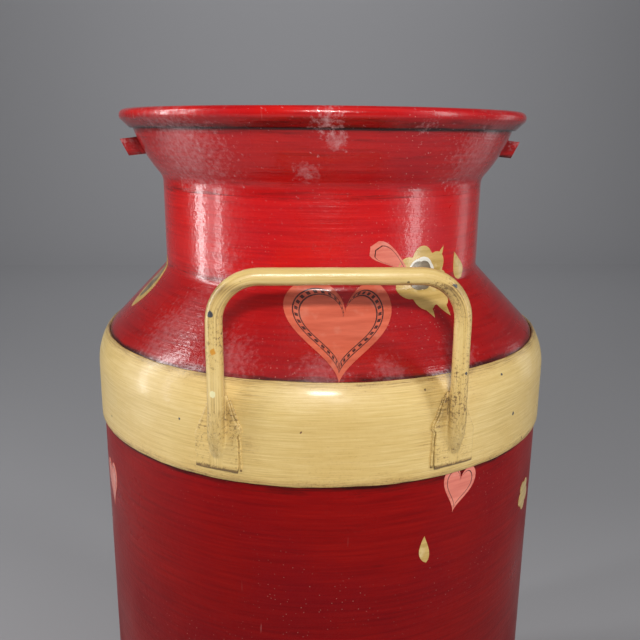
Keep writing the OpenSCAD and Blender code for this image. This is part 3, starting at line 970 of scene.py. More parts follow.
def cut_paper(name, tones, rough=0.32):
    """Printed paper cut out and varnished over: mottled ink, fibres and a worn pale bloom."""
    material = bpy.data.materials.new(name)
    material.use_nodes = True
    tree = material.node_tree
    nodes, links = tree.nodes, tree.links
    nodes.clear()
    place = nodes.new("ShaderNodeTexCoord")
    place.label = "Place on the can"
    along = nodes.new("ShaderNodeMapping")
    along.label = "Draw wiping marks out round the can"
    along.inputs["Scale"].default_value = (30, 30, 420)
    mottle = nodes.new("ShaderNodeTexNoise")
    mottle.label = "Mottled ink"
    mottle.inputs["Scale"].default_value = 1
    mottle.inputs["Detail"].default_value = 6
    mottle.inputs["Roughness"].default_value = 0.6
    inks = nodes.new("ShaderNodeValToRGB")
    inks.label = "Dark and light ink"
    inks.color_ramp.elements[0].position = 0.3
    inks.color_ramp.elements[0].color = (*tones[0], 1)
    inks.color_ramp.elements[1].position = 0.68
    inks.color_ramp.elements[1].color = (*tones[1], 1)
    rub = nodes.new("ShaderNodeTexNoise")
    rub.label = "Rubbed patches"
    rub.inputs["Scale"].default_value = 120
    rub.inputs["Detail"].default_value = 5
    worn = nodes.new("ShaderNodeMapRange")
    worn.label = "How worn"
    worn.inputs["From Min"].default_value = 0.58
    worn.inputs["From Max"].default_value = 0.72
    worn.inputs["To Max"].default_value = 0.6
    rubbed = nodes.new("ShaderNodeMix")
    rubbed.label = "Rubbed ink"
    rubbed.data_type = "RGBA"
    rubbed.inputs["B"].default_value = (*tones[2], 1)
    relief = nodes.new("ShaderNodeBump")
    relief.label = "Fibres and wrinkles"
    relief.inputs["Strength"].default_value = 0.35
    relief.inputs["Distance"].default_value = 0.0002
    sheet = nodes.new("ShaderNodeBsdfPrincipled")
    sheet.label = "Varnished paper"
    sheet.inputs["Roughness"].default_value = rough
    sheet.inputs["Coat Weight"].default_value = 0.35
    sheet.inputs["Coat Roughness"].default_value = 0.12
    surface = nodes.new("ShaderNodeOutputMaterial")
    surface.label = "Surface"
    links.new(place.outputs["Object"], along.inputs["Vector"])
    links.new(along.outputs["Vector"], mottle.inputs["Vector"])
    links.new(mottle.outputs["Fac"], inks.inputs["Fac"])
    links.new(place.outputs["Object"], rub.inputs["Vector"])
    links.new(rub.outputs["Fac"], worn.inputs["Value"])
    links.new(worn.outputs["Result"], rubbed.inputs["Factor"])
    links.new(inks.outputs["Color"], rubbed.inputs["A"])
    links.new(mottle.outputs["Fac"], relief.inputs["Height"])
    links.new(rubbed.outputs["Result"], sheet.inputs["Base Color"])
    links.new(relief.outputs["Normal"], sheet.inputs["Normal"])
    links.new(sheet.outputs["BSDF"], surface.inputs["Surface"])
    arrange(tree, {
        "Printed ink": (place, along, mottle, inks),
        "Rubbed patches": (rub, worn, rubbed),
        "Paper": (relief, sheet, surface),
    })
    return material


# Thin and thick paint, then the colour of its cloudy patches: for the red a painted purplish sheen, for
# the cream ochre glaze
REDS = ((0.34, 0.003, 0.004), (0.56, 0.006, 0.006), (0.72, 0.013, 0.009), (0.40, 0.003, 0.014))
CREAMS = ((0.56, 0.39, 0.125), (0.68, 0.49, 0.18), (0.78, 0.60, 0.27), (0.60, 0.40, 0.115))
CHIP = (0.05, 0.05, 0.06)
ORANGE = (0.62, 0.28, 0.03)
PALE = (0.80, 0.74, 0.42)

# Glaze stops that also paint shade under the hoops, then painted shade stops: the body is darker lower
# down
RED_BODY = enamel("red_enamel_body", REDS, 0, 345, (
    (0, 0.6), (33, 0.6), (40, 0.1), (160, 0.0), (300, 0.06), (307, 0.25), (310.5, 0.95), (345, 0.9)),
    ((0, 0.32), (200, 0.33), (300, 0.42), (345, 0.5)), coat=0.0, gloss=0.24, shine=0.12)
# Glaze stops that also paint shade in the creases, painted shade lower on the shoulder, and rubbed
# places with painted sheen low on the front
RED_SHOULDER = enamel("red_enamel_shoulder", REDS, 320, 445, (
    (320, 1.0), (359.6, 0.95), (361.0, 0.62), (362.6, 0.2), (364.5, 0.1), (380, 0.0),
    (393, 0.12), (398, 0.42), (402, 0.12), (420, 0.0), (436, 0.06), (441, 0.3), (445, 0.5)),
    ((320, 0.6), (362, 0.62), (392, 0.7), (404, 1.0), (445, 1.0)), wear=0.75, seed=4.0, rubs_and_sheen=(
    ((-8, -124, 362), 20, 0.22), ((24, -122, 364), 14, 0.2), ((-52, -110, 364), 26, 0.24),
    ((-80, -88, 372), 36, 0.24), ((-60, -74, 405), 26, 0.2), ((62, -104, 364), 18, 0.2)))
# Glaze stops that also paint shade under the rolled lip, painted shade there too, and rubbed places with
# painted sheen on the lip and bowl
RED_MOUTH = enamel("red_enamel_mouth", REDS, 425, 484, (
    (425, 0.5), (440, 0.40), (444, 0.24), (452, 0.10), (466, 0.10), (472.2, 0.25),
    (473.2, 1.0), (474.1, 0.45), (476, 0.34), (479.5, 0.10), (484, 0.10)),
    ((425, 0.95), (452, 0.8), (470, 0.76), (473.2, 0.4), (476, 0.6), (480, 0.95), (484, 0.9)),
    wear=0.8, seed=9.0, shine=0.4, rubs_and_sheen=(
        ((-5, -110, 478), 12, 1.0), ((-1, -106, 468), 9, 0.6), ((-14, -98, 453), 10, 0.4),
        ((40, -102, 478), 9, 0.7), ((-74, -74, 462), 44, 0.42), ((76, -72, 462), 36, 0.34)))
RED_LID = enamel("red_enamel_lid", REDS, 405, 484, (
    (405, 0.4), (412, 0.55), (418, 0.15), (450, 0.1), (470, 0.3), (484, 0.2)),
    ((405, 0.8), (484, 0.8)), seed=2.0)
RED_LUG = enamel("red_enamel_lugs", REDS, 450, 475, (
    (450, 0.5), (458, 0.75), (461, 0.2), (467, 0.2), (469, 0.7), (475, 0.5)),
    ((450, 0.7), (475, 0.7)), wear=1.0, seed=6.0, rubs_and_sheen=(
    ((low("left_lug").x, low("left_lug").y, high("left_lug").z), 13, 1.0),
    ((high("right_lug").x, low("right_lug").y, high("right_lug").z), 13, 0.9)))

# Darker glaze patches beside the feet of the handles and at the roots of the legs
FEET_DARK_PATCHES = (((44, 127, 351), 14, 0.17), ((42, 128, 331), 10, 0.14), ((63, 119, 352), 10, 0.1))
# Glaze stops that also paint shade at the edges of the hoop
CREAM_HOOP = cream_glaze("cream_glaze_hoop", CREAMS, 308, 362, (
    (308, 0.95), (311.6, 0.8), (314, 0.34), (318, 0.12), (335, 0.0), (352, 0.02), (357, 0.22),
    (359.3, 0.7), (362, 0.9)), (40, 40, 1500), dark_patches=FEET_DARK_PATCHES, chips=(
        ((-75.4, -111.8, 337), 0.9, CHIP), ((-17.4, -133.7, 338.7), 0.8, (0.10, 0.02, 0.02)),
        ((84.6, -100.8, 353.8), 1.0, CHIP), ((94, -96, 331), 1.1, CHIP)))
# Glaze stops that also paint shade at the edges of the foot hoop
CREAM_FOOT = cream_glaze("cream_glaze_foot", CREAMS, 0, 34, (
    (0, 1.0), (3, 0.75), (8, 0.3), (26, 0.1), (31, 0.6), (34, 0.9)), (40, 40, 1500))
# Glaze stops that also paint shade at the feet and under the bar
CREAM_ROD = cream_glaze("cream_glaze_handles", CREAMS, 312, 416, (
    (312, 0.85), (316.5, 0.75), (318.5, 0.1), (330, 0.12), (352, 0.26), (362, 0.12), (384, 0.12),
    (400, 0.35), (404.8, 0.5), (406.5, 0.42), (408.5, 0.05), (416, 0.0)), (16, 900, 900),
    follow="along_rod", edge_glaze_and_shade=0.62, stipple=0.46,
    dark_patches=(((50, 127.5, 345), 9, 0.14), ((60, 133, 326), 7, 0.10)), chips=(
        ((-57.3, -133.2, 394.2), 1.9, CHIP), ((-56.5, -133.7, 376.8), 2.0, ORANGE),
        ((-62.0, -128.0, 350), 2.2, CHIP), ((50.8, -133.2, 406.4), 1.4, CHIP),
        ((58.2, -133.3, 365.5), 1.3, CHIP), ((-57.5, -133.4, 357), 1.8, PALE)))
CREAM_LID = cream_glaze("cream_glaze_lid_handle", CREAMS, 408, 458, (
    (408, 0.9), (412, 0.6), (416, 0.15), (440, 0.1), (447, 0.4), (458, 0.0)),
    (16, 900, 900), follow="along_rod")

TIN_HEAD = tinned_steel("bare_tin_bottom", (40, 40, 40), 0.42)
TIN_WIRE = tinned_steel("bare_tin_wire", (60, 60, 200))

CORAL = cut_paper("paper_coral", ((0.46, 0.075, 0.035), (0.66, 0.14, 0.075), (0.62, 0.20, 0.13)))
PINK = cut_paper("paper_pink", ((0.60, 0.14, 0.10), (0.78, 0.24, 0.17), (0.80, 0.40, 0.32)))
GOLD = cut_paper("paper_gold", ((0.42, 0.27, 0.06), (0.68, 0.47, 0.16), (0.78, 0.64, 0.34)))
OLIVE = cut_paper("paper_olive", ((0.10, 0.075, 0.045), (0.26, 0.20, 0.12), (0.45, 0.38, 0.25)))
WHITE = cut_paper("paper_white", ((0.62, 0.58, 0.48), (0.82, 0.80, 0.72), (0.85, 0.84, 0.80)))
INK = cut_paper("paper_ink", ((0.035, 0.010, 0.010), (0.09, 0.022, 0.018), (0.22, 0.07, 0.05)))


def finish_piece(piece, body, slot, material, *stands_for):
    """Paints a piece, hangs it on what it rides on and hides the CAD pieces it stands for."""
    piece.data.materials.clear()
    piece.data.materials.append(material)
    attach(piece, body)
    if stands_for:
        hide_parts(*stands_for)


# ---------------------------------------------------------------- sheet of the can

def make_body():
    wall = [(BODY, BODY_FOOT)] + run((BODY, BODY_FOOT), (BODY, BODY_TOP)) + [(BODY, BODY_TOP)]
    inside = [(BODY - SHEET, z) for _, z in reversed(wall)]
    body = spin_up("body", wall + inside)
    dent(body)
    finish_piece(body, "can", "red_enamel", RED_BODY, "body_shell")


def make_seam():
    """Lap seam up the back: the sheet's raised edge, then the solder that runs out beside it."""
    low_z, high_z = FOOT_HOOP_TOP + 2, HOOP_LOW - 2
    half = SEAM_WIDTH / 2 / BODY
    crest, low_end, high_end = BODY + SEAM_RISE, low_z + 0.4, high_z - 0.4
    outline = [(BODY - SEAM_SINK, low_z), (crest, low_end)]
    outline += run((crest, low_end), (crest, high_end), 6)
    outline += [(crest, high_end), (BODY - SEAM_SINK, high_z)]
    piece = draw("body_seam", [(0, x, z) for x, z in outline])
    bpy.ops.mesh.select_all(action="SELECT")
    bpy.ops.mesh.edge_face_add()
    bpy.ops.mesh.select_all(action="SELECT")
    bpy.ops.mesh.spin(steps=6, angle=2 * half, center=(0, 0, 0), axis=(0, 0, 1))
    settle(piece)
    apply(piece, "BEVEL", width=0.45 * MM, segments=3, limit_method="ANGLE", angle_limit=SHARP)
    for v in piece.data.vertices:
        v.co = Matrix.Rotation(half, 3, "Z") @ v.co
        broad = noise.noise(Vector((0, 0, v.co.z * 45)))
        fine = noise.noise(Vector((9, 0, v.co.z * 190)))
        v.co.x += 0.6 * MM * (broad + 0.4 * fine)
    bpy.ops.object.shade_smooth_by_angle(angle=math.radians(50))
    dent(piece)
    finish_piece(piece, "can", "red_enamel", RED_BODY)


def make_bottom():
    """Disc pressed up into the body; its flat is a little wavy."""
    x, z = FLANGE_OUT - BOTTOM_BEND, BOTTOM_RISE + SHEET - BOTTOM_BEND
    top = [(0, BOTTOM_RISE + SHEET)] + run((0, BOTTOM_RISE + SHEET), (x, BOTTOM_RISE + SHEET), 12)
    under = [(across, BOTTOM_RISE) for across, _ in reversed(top)]
    outline = top + bend(x, z, BOTTOM_BEND, 90, 0, 9)
    outline += [(FLANGE_OUT, BOTTOM_REST), (FLANGE_IN, BOTTOM_REST)]
    outline += bend(x, z, BOTTOM_BEND - SHEET, 0, 90, 9) + under
    bottom = spin_up("pressed_bottom", outline, steps=144)
    for v in bottom.data.vertices:
        if math.hypot(v.co.x, v.co.y) < BOTTOM_FLAT * MM:
            v.co.z += 0.6 * MM * noise.noise(Vector((v.co.x * 22, v.co.y * 22, 0)))
    finish_piece(bottom, "can", "bare_tin", TIN_HEAD, "bottom_head")


def make_foot_hoop():
    """Hoop that the can stands on, its lower edge turned in as a narrow lip."""
    inner = HOOP - HOOP_SHEET
    outline = [(HOOP - FOOT_LIP, HOOP_SHEET), (HOOP - FOOT_LIP, 0)]
    outline += bend(HOOP - 2, 2, 2, -90, 0, 15)
    outline += run((HOOP, 2), (HOOP, FOOT_HOOP_TOP), 5) + [(HOOP, FOOT_HOOP_TOP)]
    outline += [(inner, FOOT_HOOP_TOP)] + run((inner, FOOT_HOOP_TOP), (inner, HOOP_SHEET), 8)
    outline += [(inner, HOOP_SHEET)]
    hoop = spin_up("foot_hoop_painted", outline, soft=0.35)
    dent(hoop)
    waver(hoop, FOOT_HOOP_TOP, 4, -0.35)
    finish_piece(hoop, "can", "cream_glaze", CREAM_FOOT, "foot_hoop")


def make_shoulder():
    """Breast and neck under one skin: neck, slope and curve outside, flange and collar inside."""
    foot = SPRING - FLANGE
    collar_top = CORNER_Z + COLLAR
    inner = CURVE - SHEET
    inner_corner = CORNER + SHEET
    outline = [(NECK, NECK_TOP)] + run((NECK, NECK_TOP), (NECK, CORNER_Z), 5)
    outline += bend(CORNER_X, CORNER_Z, CORNER, 180, 180 + TURN, 6)
    knee = outline[-1]
    outline += run(knee, (SLOPE_X, SLOPE_Z), 4)
    outline += bend(CURVE_X, SPRING, CURVE, TURN, 0, 4)
    outline += [(FLANGE_OUT, SPRING), (FLANGE_OUT, foot), (FLANGE_IN, foot)]
    outline += [(FLANGE_IN, SPRING + JOGGLE)]
    outline += bend(CURVE_X, SPRING, inner, math.degrees(math.asin(JOGGLE / inner)), TURN, 4)
    outline += bend(CORNER_X, CORNER_Z, inner_corner, 180 + TURN,
                    180 + math.degrees(math.asin(JOGGLE / inner_corner)), 8)
    outline += [(SLEEVE_IN, CORNER_Z - JOGGLE), (SLEEVE_IN, collar_top), (NECK_IN, collar_top)]
    outline += run((NECK_IN, collar_top), (NECK_IN, NECK_TOP), 8) + [(NECK_IN, NECK_TOP)]
    shoulder = spin_up("shoulder_and_neck", outline, steps=256)
    dent(shoulder)
    finish_piece(shoulder, "can", "red_enamel", RED_SHOULDER, "breast", "neck")


def make_shoulder_hoop():
    """Hoop over the joint of body and shoulder, beaten round the foot of the curve."""
    inner = CURVE + SOLDER
    outer = inner + HOOP_SHEET
    outline = [(HOOP - HOOP_SHEET, HOOP_LOW), (HOOP, HOOP_LOW)]
    outline += run((HOOP, HOOP_LOW), (HOOP, SPRING), 4)
    outline += bend(CURVE_X, SPRING, outer, 0, HOOP_WRAP, 3)
    outline += bend(CURVE_X, SPRING, inner, HOOP_WRAP, 0, 5)
    outline += run((HOOP - HOOP_SHEET, SPRING), (HOOP - HOOP_SHEET, HOOP_LOW), 8)
    hoop = spin_up("shoulder_hoop_painted", outline, steps=288, soft=0.4)
    dent(hoop)
    waver(hoop, high("shoulder_hoop").z, 3.5, -0.45)
    waver(hoop, HOOP_LOW, 4, 0.4)
    finish_piece(hoop, "can", "cream_glaze", CREAM_HOOP, "shoulder_hoop")


def make_mouth():
    """Flared bowl on its sleeve, its rim rolled outward over the wire."""
    foot = NECK_TOP + SOLDER - SLEEVE_DEPTH
    top = NECK_TOP + SOLDER
    edge_x = SKIRT_X - SHEET * math.cos(math.radians(SKIRT_TURN))
    edge_z = SKIRT_Z - SHEET * math.sin(math.radians(SKIRT_TURN))
    reach = -math.degrees(math.acos((SLEEVE_IN - BOWL_X) / BOWL_IN))
    outline = [(SLEEVE_IN, foot), (SLEEVE_OUT, foot), (SLEEVE_OUT, top), (NECK, top)]
    outline += bend(THROAT_X, THROAT_Z, THROAT, 180, 180 - THROAT_TURN, 6)
    outline += bend(BOWL_X, BOWL_Z, BOWL, -THROAT_TURN, -ROLL_TURN, 2)[1:]
    outline += bend(ROLL_X, ROLL_Z, ROLL_IN, 180 - ROLL_TURN, SKIRT_TURN, 14)
    outline += [(edge_x, edge_z), (SKIRT_X, SKIRT_Z)]
    outline += bend(ROLL_X, ROLL_Z, ROLL_OUT, SKIRT_TURN, 180 - ROLL_TURN, 10)
    outline += bend(BOWL_X, BOWL_Z, BOWL_IN, -ROLL_TURN, reach, 3)
    mouth = spin_up("flared_mouth", outline, steps=256)
    dent(mouth)
    finish_piece(mouth, "can", "red_enamel", RED_MOUTH, "mouth_bowl")


def make_lid():
    """Plug lid in two pieces: a cup, and a flared wall with a rolled edge lapped inside it."""
    bend_x, bend_z = PLUG - PLUG_BEND, PLUG_Z + PLUG_BEND
    under = [(0, PLUG_Z)] + run((0, PLUG_Z), (bend_x, PLUG_Z), 10)
    floor = [(x, PLUG_Z + SHEET) for x, _ in reversed(under)]
    outline = under + bend(bend_x, bend_z, PLUG_BEND, -90, 0, 9)
    outline += run((PLUG, bend_z), (PLUG, PLUG_TOP), 6) + [(PLUG, PLUG_TOP), (PLUG_IN, PLUG_TOP)]
    outline += bend(bend_x, bend_z, PLUG_BEND - SHEET, 0, -90, 9) + floor
    plug = spin_up("lid_cup", outline, steps=192)
    finish_piece(plug, "lid", "red_enamel", RED_LID, "lid_plug")

    collar_out = PLUG_IN - SOLDER
    collar_in = collar_out - SHEET
    brow = PLUG_TOP + SOLDER
    start = -math.degrees(math.asin((BOWL_Z - brow) / FLARE_OUT))
    reach = -math.degrees(math.acos((collar_in - BOWL_X) / FLARE_IN))
    outline = [(collar_in, PLUG_TOP - LID_COLLAR), (collar_out, PLUG_TOP - LID_COLLAR)]
    outline += [(collar_out, brow)]
    outline += bend(BOWL_X, BOWL_Z, FLARE_OUT, start, -FLARE_END, 2)
    outline += bend(BEAD_X, BEAD_Z, ROLL_OUT, -FLARE_END, BEAD_CLOSE, 10)[1:]
    outline += bend(BEAD_X, BEAD_Z, ROLL_IN, BEAD_CLOSE, -FLARE_END, 14)
    outline += bend(BOWL_X, BOWL_Z, FLARE_IN, -FLARE_END, reach, 3)
    flare = spin_up("lid_rim", outline, steps=224)
    finish_piece(flare, "lid", "red_enamel", RED_LID, "lid_flare")


# ---------------------------------------------------------------- handles

def score(outline, cells):
    """Scores a flat face into small cells, so that it can be laid on a curved surface."""
    for axis in (0, 1):
        start, end = min(p[axis] for p in outline), max(p[axis] for p in outline)
        parts = max(1, math.ceil((end - start) / cells))
        for i in range(1, parts):
            spot = start + (end - start) * i / parts + 0.013
            cut = Vector((spot, 0, 0)) if axis == 0 else Vector((0, 0, spot))
            bpy.ops.mesh.select_all(action="SELECT")
            bpy.ops.mesh.bisect(plane_co=cut * MM, plane_no=cut.normalized())
    bpy.ops.object.mode_set(mode="OBJECT")
    bpy.ops.object.transform_apply(location=True, rotation=True, scale=True)


def foot_outline(side, uneven):
    """Outline of one flattened foot, measured round the hoop from the can's front."""
    shape = [(47.2, 315.6), (69.6, 315.9), (69.9, 333), (66.2, 341), (60.4, 354), (52.2, 354),
             (50.4, 348.6), (48.6, 342.5), (46.5 - uneven, 338.6), (45.9 - uneven, 336.4),
             (47.3, 334.4), (46.8, 328)]
    return [(side * x, z) for x, z in shape]


def lay_on_hoop(piece, radius):
    """Bends a flat piece round the can's axis, from the front."""
    for v in piece.data.vertices:
        angle = v.co.x / MM / radius
        v.co.x, v.co.y = radius * MM * math.sin(angle), -radius * MM * math.cos(angle)


def half_rod(name, radius, bar_z, leg_x, bend_radius, reach, leg_end):
    """Half a rod handle: a ring of edges pushed along the bar, spun round the bend, pushed down."""
    bpy.ops.object.select_all(action="DESELECT")
    bpy.ops.mesh.primitive_circle_add(vertices=28, radius=radius * MM, rotation=(0, math.pi / 2, 0),
                                      location=(0, -reach * MM, bar_z * MM))
    rod = bpy.context.object
    rod.name = rod.data.name = name
    bpy.ops.object.mode_set(mode="EDIT")
    bpy.ops.mesh.select_all(action="SELECT")
    bar = (leg_x - bend_radius) * MM
    for _ in range(12):
        bpy.ops.mesh.extrude_region_move(TRANSFORM_OT_translate={"value": (bar / 12, 0, 0)})
    centre = Vector((leg_x - bend_radius, -reach, bar_z - bend_radius)) * MM
    bpy.ops.mesh.spin(steps=12, angle=math.pi / 2, center=centre, axis=(0, -1, 0))
    fall = (bar_z - bend_radius - leg_end) * MM
    for _ in range(10):
        bpy.ops.mesh.extrude_region_move(TRANSFORM_OT_translate={"value": (0, 0, -fall / 10)})
    return rod


def close_ends(rod):
    """Fills the open end, then mirrors the half to the other side of the can."""
    bpy.ops.mesh.edge_face_add()
    merge_all()
    bpy.ops.object.mode_set(mode="OBJECT")
    bpy.ops.object.transform_apply(location=True, rotation=True, scale=True)
    apply(rod, "MIRROR", use_axis=(True, False, False), merge_threshold=0.00002)


def weld(rod, others, skin):
    """Joins other pieces to a rod and draws one skin over them all."""
    bpy.ops.object.select_all(action="DESELECT")
    for piece in [rod] + others:
        piece.select_set(True)
    bpy.context.view_layer.objects.active = rod
    bpy.ops.object.join()
    apply(rod, "REMESH", mode="VOXEL", voxel_size=skin * MM, use_smooth_shade=True)
    apply(rod, "SMOOTH", factor=0.5, iterations=5)


def stray(z):
    """How far round the can a leg has moved outward by this height, in radians."""
    return FOOT_STRAY * max(0, ELBOW_Z * MM - z) / (HOOP * MM)



def mark_along(piece, leg_x, bend_radius, bar_z, reach):
    """Stores for every point how far along the rod it lies and where on the rod's section."""
    marks = piece.data.attributes.new("along_rod", "FLOAT_VECTOR", "POINT")
    bar, knee = (leg_x - bend_radius) * MM, (bar_z - bend_radius) * MM
    turn = bend_radius * MM
    for i, v in enumerate(piece.data.vertices):
        side = 1 if v.co.x >= 0 else -1
        x, depth, z = abs(v.co.x), v.co.y + reach * MM, v.co.z
        if x < bar and z > knee:
            place = (x, z - bar_z * MM, depth)
        elif z > knee:
            angle = math.atan2(x - bar, z - knee)
            place = (bar + angle * turn, math.hypot(x - bar, z - knee) - turn, depth)
        else:
            place = (bar + turn * math.pi / 2 + knee - z, x - leg_x * MM, depth)
            angle = math.atan2(x, -v.co.y)
            off_leg = abs(angle - LEG_TURN - stray(z)) * LEG_OUT > 0.9 * ROD
            if reach and z < FOOT_PAINT_TOP * MM and off_leg:
                place = (angle * HOOP * MM, z, 0)
        marks.data[i].vector = Vector((side * place[0], place[1], place[2]))


def make_handle():
    """One-piece rod handle: its legs curve in and sink into feet beaten flat on the hoop."""
    rod = half_rod("front_grip", ROD, GRIP_Z, LEG_X, GRIP_BEND, REACH, ELBOW_Z)
    inward = Vector((math.sin(LEG_TURN), -math.cos(LEG_TURN), 0))
    centre = inward * (LEG_OUT - ELBOW_BEND) * MM + Vector((0, 0, ELBOW_Z * MM))
    axis = inward.cross(Vector((0, 0, 1)))
    bpy.ops.mesh.spin(steps=8, angle=math.radians(FOOT_SINK), center=centre, axis=axis)
    close_ends(rod)
    for v in rod.data.vertices:
        v.co = Matrix.Rotation(math.copysign(stray(v.co.z), v.co.x), 3, "Z") @ v.co
    feet = []
    for side, uneven in ((1, 0.2), (-1, 0.5)):
        outline = foot_outline(side, uneven)
        foot = fill("foot", outline)
        score(outline, 2.5)
        lay_on_hoop(foot, PLATE)
        turn_out()
        facing = foot.data.polygons[0].normal.y < 0
        apply(foot, "SOLIDIFY", thickness=PLATE_THICK * MM, offset=1 if facing else -1)
        feet.append(foot)
    weld(rod, feet, 0.52)
    normals = [v.normal.copy() for v in rod.data.vertices]
    for v, normal in zip(rod.data.vertices, normals):
        if v.co.z > LUMPS_FROM * MM:
            lump = noise.noise(v.co * 55) * 0.16 + noise.noise(v.co * 260) * 0.05
            v.co += normal * lump * MM
    mark_along(rod, LEG_X, GRIP_BEND, GRIP_Z, REACH)
    bpy.ops.object.shade_smooth()
    return rod


def solder_bead(name, side):
    """Ragged bead of solder and paint along the inner edge of a foot."""
    trail = [(46.2, 316.4), (46.1, 321), (46.5, 326), (46.3, 330.5), (46.9, 334), (45.7, 336.2),
             (46.0, 338.4), (47.6, 341.5), (48.9, 345), (50.2, 348.6), (51.4, 352)]
    path = []
    for (x0, z0), (x1, z1) in zip(trail, trail[1:]):
        path += [(x0 + (x1 - x0) * t / 4, z0 + (z1 - z0) * t / 4) for t in range(4)]
    points = []
    for x, z in path:
        sway = 0.22 * noise.noise(Vector((side * 3, 0, z * 0.9)))
        angle = (x + sway) / HOOP
        points.append((side * HOOP * math.sin(angle), -HOOP * math.cos(angle), z))
    bpy.ops.object.select_all(action="DESELECT")
    bpy.ops.mesh.primitive_circle_add(vertices=10, radius=0.62 * MM, location=Vector(points[0]) * MM)
    bead = bpy.context.object
    bead.name = bead.data.name = name
    bpy.ops.object.mode_set(mode="EDIT")
    bpy.ops.mesh.select_all(action="SELECT")
    bpy.ops.mesh.edge_face_add()
    push_along(points)
    settle(bead, 60)
    normals = [v.normal.copy() for v in bead.data.vertices]
    for v, normal in zip(bead.data.vertices, normals):
        v.co += normal * noise.noise(v.co * 420) * 0.3 * MM
    mark_along(bead, LEG_X, GRIP_BEND, GRIP_Z, REACH)
    return bead


def to_the_back(piece, name):
    """A copy with its own mesh, turned half round the can."""
    twin = piece.copy()
    twin.data = piece.data.copy()
    twin.name = twin.data.name = name
    bpy.context.scene.collection.objects.link(twin)
    twin.data.transform(Matrix.Rotation(math.pi, 4, "Z"))
    return twin


def make_handles():
    front = make_handle()
    back = to_the_back(front, "back_grip")
    for piece, node in ((front, "front_handle"), (back, "back_handle")):
        finish_piece(piece, "can", "cream_glaze", CREAM_ROD, node)
    for side, word in ((-1, "left"), (1, "right")):
        bead = solder_bead(f"front_{word}_solder", side)
        twin = to_the_back(bead, f"back_{word}_solder")
        for piece in (bead, twin):
            finish_piece(piece, "can", "cream_glaze", CREAM_ROD)


def make_lid_handle():
    """Rod handle in the lid's recess, each leg standing on a round pad."""
    rod = half_rod("lid_grip", LID_ROD, LID_BAR_Z, LID_LEG_X, LID_BEND, 0, LID_PAD_Z + 1)
    close_ends(rod)
    pads = []
    for side in (-1, 1):
        bpy.ops.object.select_all(action="DESELECT")
        bpy.ops.mesh.primitive_cylinder_add(
            vertices=48, radius=LID_PAD * MM, depth=LID_PAD_THICK * MM,
            location=(side * LID_LEG_X * MM, 0, (LID_PAD_Z + LID_PAD_THICK / 2) * MM))
        pad = bpy.context.object
        bpy.ops.object.transform_apply(location=True, rotation=True, scale=True)
        apply(pad, "BEVEL", width=0.6 * MM, segments=3, limit_method="ANGLE")
        pads.append(pad)
    weld(rod, pads, 0.55)
    mark_along(rod, LID_LEG_X, LID_BEND, LID_BAR_Z, 0)
    bpy.ops.object.shade_smooth()
    finish_piece(rod, "lid", "cream_glaze", CREAM_LID, "lid_handle")


# ---------------------------------------------------------------- cut-outs

PAPER = 0.14


def outer_line():
    """The can's outer line from the body up to the neck, as (distance along it, radius, height)."""
    corner = bend(CORNER_X, CORNER_Z, CORNER, 180 + TURN, 180, 3)
    points = [(BODY, 200), (BODY, SPRING)] + bend(CURVE_X, SPRING, CURVE, 0, TURN, 3)[1:]
    points += corner + [(NECK, NECK_TOP)]
    line, length = [], 0
    for i, (x, z) in enumerate(points):
        if i:
            length += math.dist(points[i - 1], (x, z))
        line.append((length, x, z))
    return line


OUTER_LINE = outer_line()


def on_line(length):
    """Radius and height of a place on the outer line, and how far its surface leans back."""
    for (l0, x0, z0), (l1, x1, z1) in zip(OUTER_LINE, OUTER_LINE[1:]):
        if length <= l1 or l1 == OUTER_LINE[-1][0]:
            part = (length - l0) / (l1 - l0)
            lean = math.atan2(x0 - x1, z1 - z0)
            return x0 + (x1 - x0) * part, z0 + (z1 - z0) * part, lean


def length_at(height):
    """How far along the outer line a height is reached."""
    for (l0, _, z0), (l1, _, z1) in zip(OUTER_LINE, OUTER_LINE[1:]):
        if height <= z1:
            return l0 + (l1 - l0) * (height - z0) / (z1 - z0)


def lay_on_can(piece, azimuth, height, tilt, lift):
    """Lays a flat cut-out on the dented can; azimuth is measured from the front to the right."""
    middle = length_at(height)
    turn = math.radians(tilt)
    for v in piece.data.vertices:
        x, z = v.co.x / MM, v.co.z / MM
        across = x * math.cos(turn) + z * math.sin(turn)
        up = z * math.cos(turn) - x * math.sin(turn)
        radius, level, lean = on_line(middle + up)
        angle = math.radians(azimuth) + across / radius
        out, rise = radius + lift * math.cos(lean), level + lift * math.sin(lean)
        spot = Vector((out * math.sin(angle), -out * math.cos(angle), rise)) * MM
        shrink = 1 - dent_depth(spot) * MM / math.hypot(spot.x, spot.y)
        v.co = Vector((spot.x * shrink, spot.y * shrink, spot.z))


